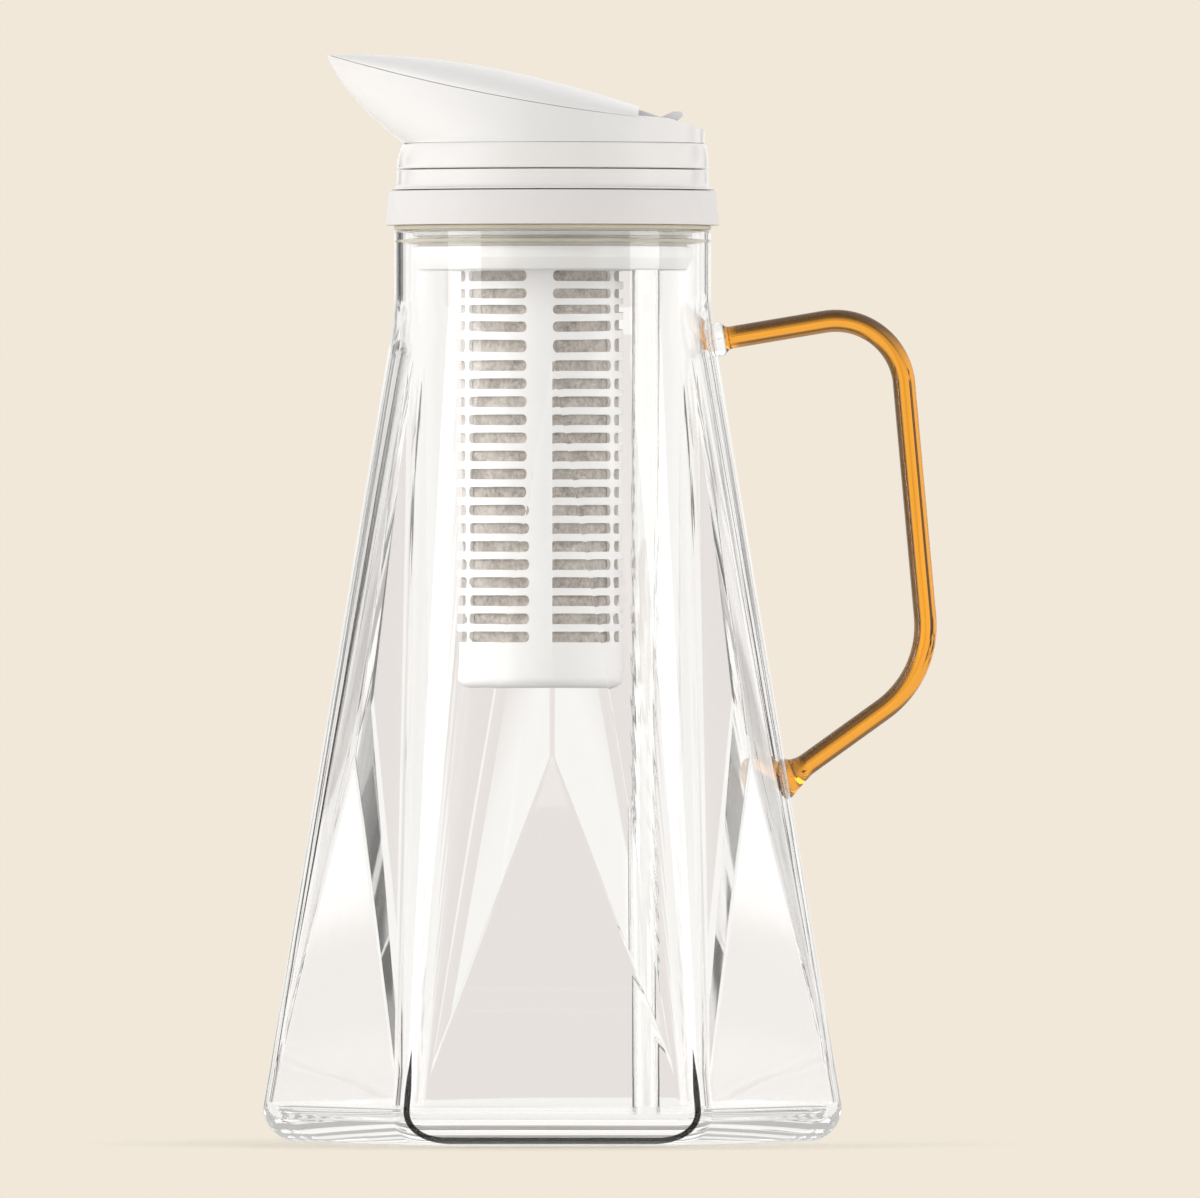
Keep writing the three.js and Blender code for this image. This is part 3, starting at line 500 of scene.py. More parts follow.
# %% [markdown]
# Three finishes are clear: the colourless glass of the body, the amber glass of the handle and the plastic
# of the air tube. A glass shader alone would do for a sketch. Here the standard surface lets all light
# through, so that the waves of the fire polish reach both its gloss and what is seen through it. Two things
# help the picture. Lamps reach what stands behind the glass, and light that is mirrored on and on inside a
# wall, and would end in black after the last bounce, ends in a painted glow: after a set number of bounces
# the glass gives off a pale emission.

# %% Clear finishes
TRAPPED_AFTER = 16
TRAPPED_GLOW = (0.5, 0.485, 0.47)
WAVE_DEPTH = 0.001


def clear_material(name, colour, index, wave_scale, stretch, bump, shadow, trapped=None):
    material, tree, shader = new_material(name)
    polish = add_node(tree, "ShaderNodeGroup", node_tree=FIRE_POLISH)
    polish.inputs["Wave Scale"].default_value = wave_scale
    polish.inputs["Stretch"].default_value = stretch
    tree.links.new(polish.outputs["Roughness"], shader.inputs["Roughness"])
    raise_surface(tree, shader, polish.outputs["Height"], bump, WAVE_DEPTH)
    shader.inputs["Base Color"].default_value = (*colour, 1)
    shader.inputs["Transmission Weight"].default_value = 1.0
    shader.inputs["IOR"].default_value = index
    if trapped:
        shader = glow_when_trapped(tree, shader, trapped)
        material.cycles.emission_sampling = "NONE"
    let_lamps_through(tree, shader, shadow)
    return material


# A painted glow: rays deeper than the set number of bounces get a pale emission instead of the glass
def glow_when_trapped(tree, shader, tone):
    depth = add_node(tree, "ShaderNodeLightPath").outputs["Ray Depth"]
    trapped = math_node(tree, "GREATER_THAN", depth, TRAPPED_AFTER)
    return mix_shaders(tree, trapped, shader, add_node(tree, "ShaderNodeEmission", {"Color": (*tone, 1)}))


def let_lamps_through(tree, shader, shadow):
    """For the rays of lamps alone the piece is a tinted clear pane."""
    lamp_ray = add_node(tree, "ShaderNodeLightPath").outputs["Is Shadow Ray"]
    pane = add_node(tree, "ShaderNodeBsdfTransparent", {"Color": (*shadow, 1)})
    show(tree, mix_shaders(tree, lamp_ray, shader, pane))


CLEAR_PLASTIC = clear_material(
    "clear_plastic", (0.995, 0.995, 0.99), 1.45, 40.0, 0.2, 0.004, (0.9, 0.9, 0.89))
print("clear finish:", CLEAR_PLASTIC.name)

# %% [markdown]
# A painted shade: a dark line frames the foot of the front face. It stands in for the dark surroundings that
# the thick glass of the heel bends and mirrors there. To get it by tracing rays, the whole room of the
# photograph would have to be known. So it is painted into the colour of the glass. So it is part of the
# finish.
# It follows the foot of the front face, bends up along both corners and runs out above them. It is measured
# from the middle of the corners on the outside of the heel, and only light that enters the glass meets it.

# %% Painted shade round the foot
LINE_HALF = 0.0393
LINE_BEND = 0.0075
LINE_LOW = 0.00125
LINE_TOP = 0.027
LINE_WIDTH = 0.00085
LINE_EDGE = 0.0003
HEEL_LEAN = 0.08
HEEL_REACH = (0.0664, 0.0668)
BELOW_INSIDE = (0.0065, 0.0055)


def painted_shade_line(tree, along, height):
    """Is 1 on the painted shade line. Along is the way from the middle of the face, height the way up from
    the floor.
    """
    past_side = math_node(tree, "SUBTRACT", along, LINE_HALF - LINE_BEND)
    past_foot = math_node(tree, "SUBTRACT", LINE_LOW + LINE_BEND, height)
    outer = add_node(tree, "ShaderNodeCombineXYZ", {
        "X": math_node(tree, "MAXIMUM", past_side, 0.0), "Y": math_node(tree, "MAXIMUM", past_foot, 0.0)})
    bend = length_of(tree, outer.outputs[0])
    straight = math_node(tree, "MINIMUM", math_node(tree, "MAXIMUM", past_side, past_foot), 0.0)
    off_line = math_node(tree, "SUBTRACT", math_node(tree, "ADD", bend, straight), LINE_BEND)
    width = times(tree, rise_from(tree, height, LINE_TOP, LINE_TOP / 2), LINE_WIDTH)
    beyond = math_node(tree, "SUBTRACT", math_node(tree, "ABSOLUTE", off_line), width)
    on_line = rise_from(tree, beyond, LINE_EDGE, 0.0)
    return times(tree, on_line, rise_from(tree, height, LINE_TOP, 0.9 * LINE_TOP))


def outer_side(tree, forward, height):
    """Is 1 on the outside of the heel and 0 on the inside of the glass, which starts above the floor."""
    leaned = math_node(tree, "ADD", forward, times(tree, height, HEEL_LEAN))
    outside = rise_from(tree, leaned, *HEEL_REACH)
    return math_node(tree, "MAXIMUM", outside, rise_from(tree, height, *BELOW_INSIDE))


# Painted shade: a dark line in the colour of the glass round the foot of the front face, met only from
# outside
def painted_heel_shade(tree):
    place = object_place(tree)
    parts = add_node(tree, "ShaderNodeSeparateXYZ", {"Vector": place}).outputs
    forward = times(tree, parts["Y"], -1.0)
    turn = math_node(tree, "ARCTAN2", math_node(tree, "ABSOLUTE", parts["X"]), forward)
    flat = add_node(tree, "ShaderNodeCombineXYZ", {"X": parts["X"], "Y": parts["Y"]}).outputs[0]
    away = length_of(tree, flat)
    from_corner = times(tree, away, math_node(tree, "SINE", math_node(tree, "SUBTRACT", math.pi / 6, turn)))
    along = math_node(tree, "SUBTRACT", LINE_HALF, from_corner)
    line = times(tree, painted_shade_line(tree, along, parts["Z"]), outer_side(tree, forward, parts["Z"]))
    leaving = add_node(tree, "ShaderNodeNewGeometry").outputs["Backfacing"]
    return times(tree, line, math_node(tree, "SUBTRACT", 1.0, leaving))


print("line round the foot,", round(2 * LINE_HALF, 4), "metres wide")

# %% Clear glass
GLASS_INDEX = 1.5
CLEAR = (0.99, 0.99, 0.985)
# Colour and reflection tint of the painted shade round the foot
PAINTED_SHADE_COLOUR = (0.002, 0.002, 0.002)
PAINTED_SHADE_GLOSS = (0.2, 0.2, 0.2)


def clear_glass():
    material = clear_material(
        "clear_glass", CLEAR, GLASS_INDEX, 22.0, 0.4, 0.02, (0.94, 0.94, 0.935), TRAPPED_GLOW)
    tree = material.node_tree
    shader = tree.nodes["Principled BSDF"]
    # The painted shade darkens both the colour and the reflection tint of the glass
    line = painted_heel_shade(tree)
    tree.links.new(mix_colours(tree, line, CLEAR, PAINTED_SHADE_COLOUR), shader.inputs["Base Color"])
    tree.links.new(mix_colours(tree, line, grey(1.0), PAINTED_SHADE_GLOSS), shader.inputs["Specular Tint"])
    return material


CLEAR_GLASS = clear_glass()
print("clear finish:", CLEAR_GLASS.name)

# %% [markdown]
# Amber glass is coloured all through. Its top, its underside and its side towards the jug are darkened to
# brown as a painted shade, which stands in for the dark surroundings that the rod shows there. A coloured
# volume would do this too, but other programs don't keep it. So the rod carries an attribute that says how
# much painted shade each point has, and the finish reads it.

# %% Amber glass
AMBER = (0.95, 0.40, 0.028)
# Colour of the painted shade on the amber
AMBER_PAINTED_SHADE = (0.05, 0.024, 0.008)
PAINTED_SHADE_ATTRIBUTE = "edge"


def amber_glass():
    material = clear_material("amber_glass", AMBER, GLASS_INDEX, 60.0, 0.5, 0.05, (0.85, 0.55, 0.2))
    tree = material.node_tree
    # The attribute paints shade into the amber colour
    brown = add_node(tree, "ShaderNodeAttribute", attribute_name=PAINTED_SHADE_ATTRIBUTE).outputs["Fac"]
    tint = mix_colours(tree, brown, AMBER, AMBER_PAINTED_SHADE)
    tree.links.new(tint, tree.nodes["Principled BSDF"].inputs["Base Color"])
    return material


AMBER_GLASS = amber_glass()
print("clear finish:", AMBER_GLASS.name)

# %% [markdown]
# The seals are beige silicone, slightly cloudy and dull: a little light goes into it and comes out nearby.
# The filter sleeve is a needled felt in warm grey with darker flecks of carbon. A plain grey would look
# like card, so two noises mix its tones and lift its fibres.

# %% Silicone and felt
BEIGE = (0.66, 0.61, 0.50)
DARK_BEIGE = (0.57, 0.53, 0.43)
SILICONE_ROUGHNESS = (0.42, 0.6)
SILICONE_GRAIN = 0.00005
SILICONE_DEPTH = (0.002, 0.0017, 0.0012)
SILICONE_GLOW = 0.25
FELT_TONES = [(0.30, (0.13, 0.115, 0.10)), (0.44, (0.37, 0.33, 0.295)), (0.54, (0.52, 0.475, 0.43)),
              (0.70, (0.70, 0.655, 0.61))]
FIBRE_SCALE = 900.0
FIBRE_SHARE = 0.6
FELT_DEPTH = 0.0004


def silicone_material():
    material, tree, shader = new_material("silicone")
    place = object_place(tree)
    cloud = spread(tree, noise(tree, place, 90.0, 4.0), 0.0, 1.0)
    tint = mix_colours(tree, cloud, BEIGE, DARK_BEIGE)
    tree.links.new(tint, shader.inputs["Base Color"])
    dull = spread(tree, noise(tree, place, 300.0, 3.0), *SILICONE_ROUGHNESS)
    tree.links.new(dull, shader.inputs["Roughness"])
    raise_surface(tree, shader, noise(tree, place, 1800.0, 2.0), 0.4, SILICONE_GRAIN)
    shader.inputs["Subsurface Weight"].default_value = SILICONE_GLOW
    shader.inputs["Subsurface Radius"].default_value = SILICONE_DEPTH
    shader.inputs["Subsurface Scale"].default_value = 1.0
    return material


def felt_material():
    material, tree, shader = new_material("grey_felt")
    place = object_place(tree)
    patch = noise(tree, place, 170.0, 5.0, 0.7)
    fleck = noise(tree, place, 620.0, 4.0, 0.75, 0.6)
    tone = times(tree, math_node(tree, "ADD", patch, fleck), 0.5)
    tree.links.new(colour_ramp(tree, tone, FELT_TONES, "LINEAR"), shader.inputs["Base Color"])
    shader.inputs["Roughness"].default_value = 0.95
    shader.inputs["Specular IOR Level"].default_value = 0.1
    shader.inputs["Sheen Weight"].default_value = 0.3
    shader.inputs["Sheen Roughness"].default_value = 0.6
    fibres = add_node(tree, "ShaderNodeTexVoronoi", {"Vector": place, "Scale": FIBRE_SCALE})
    height = math_node(tree, "ADD", fleck, times(tree, fibres.outputs["Distance"], FIBRE_SHARE))
    raise_surface(tree, shader, height, 0.8, FELT_DEPTH)
    return material


SILICONE = silicone_material()
GREY_FELT = felt_material()
print("soft finishes:", SILICONE.name, GREY_FELT.name)

# %% [markdown]
# Inside the felt sits a sintered block of carbon grains: cells of a Voronoi pattern, each with a grey of its
# own. The pin is drawn steel, so its fine lines run along it: a noise, stretched by a mapping node.

# %% Carbon and steel
CARBON_TONES = [(0.0, grey(0.008)), (0.7, grey(0.02)), (1.0, grey(0.06))]
GRAIN_SCALE = 700.0
GRAIN_DEPTH = 0.0004
DARK_STEEL = (0.50, 0.51, 0.52)
LIGHT_STEEL = (0.62, 0.63, 0.64)
DRAWN_ALONG_Y = (1.0, 0.03, 1.0)
STEEL_LINE_SCALE = 4000.0
STEEL_LINE_DEPTH = 0.00005


def carbon_material():
    material, tree, shader = new_material("carbon")
    place = object_place(tree)
    grains = add_node(tree, "ShaderNodeTexVoronoi", {"Vector": place, "Scale": GRAIN_SCALE})
    shade = add_node(tree, "ShaderNodeSeparateColor", {"Color": grains.outputs["Color"]}).outputs["Red"]
    tree.links.new(colour_ramp(tree, shade, CARBON_TONES, "LINEAR"), shader.inputs["Base Color"])
    tree.links.new(spread(tree, shade, 0.6, 0.9), shader.inputs["Roughness"])
    raise_surface(tree, shader, grains.outputs["Distance"], 0.8, GRAIN_DEPTH)
    return material


def steel_material():
    material, tree, shader = new_material("steel")
    place = object_place(tree)
    drawn = add_node(tree, "ShaderNodeMapping", {"Vector": place, "Scale": DRAWN_ALONG_Y}).outputs[0]
    lines = noise(tree, drawn, STEEL_LINE_SCALE, 3.0)
    colour = mix_colours(tree, lines, DARK_STEEL, LIGHT_STEEL)
    tree.links.new(colour, shader.inputs["Base Color"])
    tree.links.new(spread(tree, lines, 0.2, 0.38), shader.inputs["Roughness"])
    shader.inputs["Metallic"].default_value = 1.0
    raise_surface(tree, shader, lines, 0.2, STEEL_LINE_DEPTH)
    return material


CARBON = carbon_material()
STEEL = steel_material()
print("materials so far:", len(bpy.data.materials))

# %% [markdown]
# Pieces are drawn in millimetres, as on a workshop drawing, and brought to metres when they are stored.
# Storing merges doubles, turns all faces outwards, shades the shape smooth up to a given crease angle, keeps
# faces over a given area flat and hangs the piece on its body in place of the plain solid.

# %% Storing a piece
MILLIMETRE = 0.001
MERGE = 0.0005


def store(bm, name, body, nodes, material, crease=30.0, flat_area=math.inf):
    bmesh.ops.remove_doubles(bm, verts=bm.verts, dist=MERGE)
    bmesh.ops.recalc_face_normals(bm, faces=bm.faces)
    for face in bm.faces:
        face.smooth = face.calc_area() < flat_area
    bmesh.ops.scale(bm, vec=(MILLIMETRE, MILLIMETRE, MILLIMETRE), verts=bm.verts)
    mesh = bpy.data.meshes.new(name)
    bm.to_mesh(mesh)
    bm.free()
    mesh.set_sharp_from_angle(angle=math.radians(crease))
    mesh.materials.append(material)
    piece = bpy.data.objects.new(name, mesh)
    scene.collection.objects.link(piece)
    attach(piece, body)
    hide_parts(*nodes)
    print(name, "has", len(mesh.polygons), "faces")
    return piece


print("points closer than", MERGE, "mm are merged")

# %% [markdown]
# The glass body stands on a six-sided foot with round corners. Its faces lean in until they run out into a
# round neck. On each face three flat facets meet in a point that stands out. The way here: one hexagon has
# its corners rounded by a bevel, its outline is extruded upwards level by level, and each level is
# reshaped. On the long triangle of a face, poke adds the middle point, which is then pulled out.

# %% Sections of the glass body
FACES = 6
SECTOR = 2 * math.pi / FACES
CORNER_STEPS = 20
BASE_APOTHEM = 69.2
FOOT_APOTHEM = 67.8
FOOT_HEIGHT = 18.8
CORNER_ROUND = 11.4
SHOULDER_HEIGHT = 211
SHOULDER_RADIUS = 44.8
NECK_RADIUS = 42.8
NECK_BLEND = 6
RIM_HEIGHT = 245.8
NECK_WALL = 2.4
LIP_HEIGHT = 0.45
BODY_WALL = 3.4


def corner_reach(apothem, corner):
    return (apothem - corner) / math.cos(SECTOR / 2) + corner


def edges_of(verts):
    """The edges of a new circle, each once and in the order of its points."""
    return list(dict.fromkeys(edge for vert in verts for edge in vert.link_edges))


def raise_ring(bm, ring):
    """Extrudes a ring of edges in place and returns the new points and edges."""
    made = bmesh.ops.extrude_edge_only(bm, edges=ring)["geom"]
    verts = [item for item in made if isinstance(item, bmesh.types.BMVert)]
    fresh = set(verts)
    edges = [item for item in made if isinstance(item, bmesh.types.BMEdge) and set(item.verts) <= fresh]
    return verts, edges


def reshape(verts, before, after, height):
    """Moves a ring from one section to another. A section is an apothem and a corner radius."""
    for vert in verts:
        corner_turn = round(math.atan2(vert.co.y, vert.co.x) / SECTOR) * SECTOR
        outward = Vector((math.cos(corner_turn), math.sin(corner_turn)))
        aside = Vector((-outward.y, outward.x))
        local = vert.co.xy - outward * (before[0] - before[1]) / math.cos(SECTOR / 2)
        swing = math.atan2(local.dot(aside), local.dot(outward))
        centre = outward * (after[0] - after[1]) / math.cos(SECTOR / 2)
        moved = centre + after[1] * (outward * math.cos(swing) + aside * math.sin(swing))
        vert.co = (moved.x, moved.y, height)


def bend_points(start, middle, end, steps):
    """Points on a curve of one bend, without its start."""
    points = []
    for step in range(1, steps + 1):
        share = step / steps
        points.append(start.lerp(middle, share).lerp(middle.lerp(end, share), share))
    return points


print("corner reach at the foot:", round(corner_reach(FOOT_APOTHEM, CORNER_ROUND), 2), "mm")

# %% [markdown]
# Outside and inside are two skins made by one function, the inside set in by the wall. Both end in a ring
# of the same directions at the top of the neck, so the half-round lip of the rim can join them.

# %% Skins of the glass
FILLET_STEPS = 18
HEEL_ROUND = 9.5
INNER_FLOOR = 7.4
INNER_ROUND = 3.0
LEAST_CORNER = 0.5
NECK_STEPS = 12


def level_fillet(low, fillet, inset):
    share = (low + fillet - HEEL_ROUND) / (FOOT_HEIGHT - HEEL_ROUND)
    apothem = BASE_APOTHEM + share * (FOOT_APOTHEM - BASE_APOTHEM) - inset
    levels = []
    for step in range(FILLET_STEPS + 1):
        turn = step / FILLET_STEPS * math.pi / 2
        draw = fillet * (1 - math.sin(turn))
        corner = max(CORNER_ROUND - inset - draw, LEAST_CORNER)
        levels.append((low + fillet * (1 - math.cos(turn)), apothem - draw, corner))
    return levels


def rounded_hexagon(bm, level):
    height, apothem, corner = level
    place = Matrix.Translation((0, 0, height)) @ Matrix.Rotation(SECTOR / 2, 4, "Z")
    verts = bmesh.ops.create_circle(
        bm, cap_ends=True, segments=FACES, radius=apothem / math.cos(SECTOR / 2), matrix=place)["verts"]
    rounded = bmesh.ops.bevel(
        bm, geom=verts, offset=corner * math.tan(SECTOR / 2), segments=CORNER_STEPS, profile=0.5,
        affect="VERTICES", material=-1)
    floor = next(face for face in rounded["verts"][0].link_faces if len(face.verts) > FACES)
    return list(floor.edges)


def glass_skin(bm, inset, neck_inset, low, fillet):
    levels = level_fillet(low, fillet, inset)
    levels.append((FOOT_HEIGHT, FOOT_APOTHEM - inset, CORNER_ROUND - inset))
    levels.append((SHOULDER_HEIGHT, SHOULDER_RADIUS - inset, SHOULDER_RADIUS - inset))
    ring = rounded_hexagon(bm, levels[0])
    for before, after in zip(levels, levels[1:]):
        verts, ring = raise_ring(bm, ring)
        reshape(verts, before[1:], after[1:], after[0])
    lean = corner_reach(FOOT_APOTHEM - inset, CORNER_ROUND - inset) - SHOULDER_RADIUS + inset
    lean /= SHOULDER_HEIGHT - FOOT_HEIGHT
    neck = NECK_RADIUS - neck_inset
    bend = SHOULDER_HEIGHT + (SHOULDER_RADIUS - inset - neck) / lean
    start = Vector((neck + NECK_BLEND * lean, bend - NECK_BLEND))
    end = Vector((neck, bend + NECK_BLEND))
    circles = [start] + bend_points(start, Vector((neck, bend)), end, NECK_STEPS)
    circles.append(Vector((neck, RIM_HEIGHT - LIP_HEIGHT)))
    return follow_circles(bm, ring, circles)


def follow_circles(bm, ring, circles):
    for circle in circles:
        verts, ring = raise_ring(bm, ring)
        for vert in verts:
            flat = vert.co.xy.normalized() * circle.x
            vert.co = (flat.x, flat.y, circle.y)
    return ring


print("skins start from a hexagon of", FACES, "rounded corners")

# %% [markdown]
# The facets are flat, and a narrow bevel rounds the ridges between them, as in a pressed glass. Flat facets
# must not be shaded smooth, so faces over a set area stay flat. Inside, the glass follows the front face
# evenly. On the other faces its facets lie elsewhere, which makes those walls play with the light.

# %% Facets of the glass
PEAK_HEIGHT = 104.4
PEAK_RISE = 4.1
SIDE_INNER_PEAK = (120, 2.6)
BACK_INNER_PEAK = (68, 2.0)
RIDGE_ROUND = 0.8
RIDGE_STEPS = 4
STRAIGHT = 0.9


def raise_facets(bm, faces, inset, peak_of):
    peaks = bmesh.ops.poke(bm, faces=faces)["verts"]
    for peak in peaks:
        outward = peak.co.xy.normalized()
        height, rise = peak_of(outward)
        share = (SHOULDER_HEIGHT - height) / (SHOULDER_HEIGHT - FOOT_HEIGHT)
        reach = (1 - share) * (SHOULDER_RADIUS - inset) + share * (FOOT_APOTHEM - inset) + rise
        peak.co = (outward.x * reach, outward.y * reach, height)
    return peaks


def outer_peak(outward):
    return PEAK_HEIGHT, PEAK_RISE


def inner_peak(outward):
    """The front wall is of even thickness, so that the filter shows undistorted. The others are looser."""
    if outward.y < -STRAIGHT:
        return outer_peak(outward)
    return BACK_INNER_PEAK if outward.y > STRAIGHT else SIDE_INNER_PEAK


def long_triangles(bm):
    """The large triangles of the six faces, which reach from the foot to the shoulder."""
    found = []
    for face in bm.faces:
        heights = [vert.co.z for vert in face.verts]
        tall = max(heights) > SHOULDER_HEIGHT - 1 and min(heights) < FOOT_HEIGHT + 1
        if tall and len(face.verts) == 3:
            found.append(face)
    return found


print("facets meet", PEAK_RISE, "mm in front of the flat face")

# %% Glass body
LIP_STEPS = 12
FLAT_FACET = 600
GLASS_CREASE = 8.0


def lip_circles():
    """The half-round rim, from the outside of the neck over to its inside."""
    circles = []
    for step in range(1, LIP_STEPS + 1):
        turn = step / LIP_STEPS * math.pi
        radius = NECK_RADIUS - NECK_WALL / 2 * (1 - math.cos(turn))
        circles.append(Vector((radius, RIM_HEIGHT - LIP_HEIGHT * (1 - math.sin(turn)))))
    return circles


def outer_skin():
    bm = bmesh.new()
    ring = glass_skin(bm, 0, 0, 0, HEEL_ROUND)
    follow_circles(bm, ring, lip_circles())
    bmesh.ops.remove_doubles(bm, verts=bm.verts, dist=MERGE)
    peaks = raise_facets(bm, long_triangles(bm), 0, outer_peak)
    ridges = [edge for peak in peaks for edge in peak.link_edges]
    bmesh.ops.bevel(bm, geom=ridges, offset=RIDGE_ROUND, segments=RIDGE_STEPS, profile=0.5, affect="EDGES",
                    clamp_overlap=True, material=-1)
    return bm


def inner_skin():
    bm = bmesh.new()
    glass_skin(bm, BODY_WALL, NECK_WALL, INNER_FLOOR, INNER_ROUND)
    bmesh.ops.remove_doubles(bm, verts=bm.verts, dist=MERGE)
    raise_facets(bm, long_triangles(bm), BODY_WALL, inner_peak)
    return bm


def join(bm, *others):
    """Brings the other shapes into the first one."""
    for other in others:
        mesh = bpy.data.meshes.new("joined")
        other.to_mesh(mesh)
        other.free()
        bm.from_mesh(mesh)
        bpy.data.meshes.remove(mesh)
    return bm


def glass_body():
    bm = join(outer_skin(), inner_skin())
    return store(bm, "glass_jug", "jug", ["glass_body"], CLEAR_GLASS, GLASS_CREASE,
                 FLAT_FACET)


glass_body()

# %% [markdown]
# The handle is one amber rod, bent hot. It leaves the shoulder in a clear bell-shaped boss, runs out, bends
# down into a long grip and comes back to the body, where its end is pressed flat into a flared foot. A ring
# of points is carried along the route by extruding it, turned a little at each station.

# %% Route of the handle
ROD_RADIUS = 3.05
ROD_FLARE = 2.5
ROD_FLARE_LENGTH = 7
BOSS_LENGTH = 2.6
COLLAR_FLARE = 0.9
COLLAR_LENGTH = 1.6
UPPER_JOINT_HEIGHT = 216.4
LOWER_JOINT_HEIGHT = 98.1
GRIP_TOP = Vector((93.1, 0, 224.7))
GRIP_FOOT = Vector((102, 0, 125.9))
GRIP_TOP_BEND = 18.5
GRIP_FOOT_BEND = 28
UPRIGHT = Vector((0, 0, 1))


def on_glass(height):
    share = (SHOULDER_HEIGHT - height) / (SHOULDER_HEIGHT - FOOT_HEIGHT)
    foot = corner_reach(FOOT_APOTHEM, CORNER_ROUND)
    return Vector((SHOULDER_RADIUS + share * (foot - SHOULDER_RADIUS), 0, height))


def rounded_bend(before, corner, after, radius, steps):
    back = (before - corner).normalized()
    onward = (after - corner).normalized()
    half = math.acos(back.dot(onward)) / 2
    centre = corner + (back + onward).normalized() * radius / math.sin(half)
    start = corner + back * radius / math.tan(half) - centre
    end = corner + onward * radius / math.tan(half) - centre
    return [centre + start.slerp(end, step / steps) * radius for step in range(steps + 1)]


UPPER_JOINT = on_glass(UPPER_JOINT_HEIGHT)
LOWER_JOINT = on_glass(LOWER_JOINT_HEIGHT)
SIDE_SLOPE = UPPER_JOINT - LOWER_JOINT
GLASS_OUT = Vector((SIDE_SLOPE.z, 0, -SIDE_SLOPE.x)).normalized()
TOP_RUN = (GRIP_TOP - UPPER_JOINT).normalized()
print("joints, mm:", [[round(value, 1) for value in joint] for joint in (UPPER_JOINT, LOWER_JOINT)])

# %% Carrying a ring along a route
ROD_SIDES = 40


def rod_frame(point, along, radius):
    across = Vector((0, 1, 0))
    aside = across.cross(along).normalized()
    turn = Matrix((aside, across, along)).transposed().to_4x4()
    return Matrix.Translation(point) @ turn @ Matrix.Scale(radius, 4)


def carry_ring(stations, sides):
    """A closed rod through stations of a point, a direction and a radius."""
    bm = bmesh.new()
    frames = [rod_frame(*station) for station in stations]
    verts = bmesh.ops.create_circle(bm, cap_ends=True, segments=sides, radius=1, matrix=frames[0])["verts"]
    ring = edges_of(verts)
    for before, after in zip(frames, frames[1:]):
        verts, ring = raise_ring(bm, ring)
        bmesh.ops.transform(bm, matrix=after @ before.inverted(), verts=verts)
    bmesh.ops.contextual_create(bm, geom=ring)
    return bm


print("the rod has", ROD_SIDES, "sides")

# %% [markdown]
# How much painted shade the amber gets at a point follows from the way its surface faces: dark brown on top,
# below and towards the jug, left light on the outer side as if lit there, and clear at both joints. Each
# range says where the painted shade sets in and where it is full.

# %% Painted shade of the amber
SHADE_ABOVE = (0.05, 0.2)
SHADE_BELOW = (0.45, 0.55)
SHADE_INSIDE = (0.33, 0.48)
LIGHT_OUTSIDE = (0.25, 0.6)
LIGHT_UNTIL = (0.3, 0.6)
CLEAR_JOINT = (0.4 * ROD_FLARE_LENGTH, ROD_FLARE_LENGTH)


def share_between(value, limits):
    low, high = limits
    return min(max((value - low) / (high - low), 0), 1)


# Painted shade by the way the surface faces, with the outer side left light as if lit
def painted_shade_share(place, normal):
    brown = max(share_between(normal.z, SHADE_ABOVE), share_between(-normal.z, SHADE_BELOW),
                share_between(-normal.x, SHADE_INSIDE))
    lit = share_between(normal.x, LIGHT_OUTSIDE) * (1 - share_between(abs(normal.z), LIGHT_UNTIL))
    joint = min((place - LOWER_JOINT).length, (place - UPPER_JOINT).length)
    return brown * (1 - lit) * share_between(joint, CLEAR_JOINT)


# Stores the painted shade of each point of the rod
def store_painted_shade(piece):
    brown = piece.data.attributes.new(PAINTED_SHADE_ATTRIBUTE, "FLOAT", "POINT")
    for vert in piece.data.vertices:
        brown.data[vert.index].value = painted_shade_share(vert.co / MILLIMETRE, vert.normal)
    return brown


print("brown of the grip's upper side:", painted_shade_share(GRIP_TOP, UPRIGHT))

# %% Handle rod and boss
COLLAR_STEPS = 6
BEND_STEPS = 24
FLARE_STEPS = 12
BOSS_PROFILE = [(-0.1, 4.5), (0.15, 4.45), (0.4, 4.4), (0.65, 4.5), (0.85, 4.4), (0.95, 4.1), (0.99, 3.6)]
BOSS_CREASE = 50


def handle_route():
    """Points of the rod from its boss over both bends to its foot on the glass."""
    start = UPPER_JOINT + TOP_RUN * BOSS_LENGTH
    points = [start + TOP_RUN * COLLAR_LENGTH * step / COLLAR_STEPS for step in range(COLLAR_STEPS + 1)]
    points += [start + TOP_RUN * ROD_FLARE_LENGTH * share for share in (0.5, 1, 1.5)]
    points += rounded_bend(start, GRIP_TOP, GRIP_FOOT, GRIP_TOP_BEND, BEND_STEPS)
    points += rounded_bend(GRIP_TOP, GRIP_FOOT, LOWER_JOINT, GRIP_FOOT_BEND, BEND_STEPS)
    flare = (LOWER_JOINT - GRIP_FOOT).normalized() * ROD_FLARE_LENGTH
    points += [LOWER_JOINT - flare * step / FLARE_STEPS for step in range(FLARE_STEPS, -1, -1)]
    return points


def handle_rod():
    points = handle_route()
    stations = []
    for index, point in enumerate(points):
        before = points[max(index - 1, 0)]
        after = points[min(index + 1, len(points) - 1)]
        along = (after - before).normalized()
        share = max(1 - (point - LOWER_JOINT).length / ROD_FLARE_LENGTH, 0) ** 2
        along = along.lerp(-GLASS_OUT, share).normalized()
        collar = max(1 - (point - points[0]).length / COLLAR_LENGTH, 0) ** 2
        stations.append((point, along, ROD_RADIUS + ROD_FLARE * share + COLLAR_FLARE * collar))
    rod = carry_ring(stations, ROD_SIDES)
    return store(rod, "amber_handle", "jug", ["handle_rod"], AMBER_GLASS)


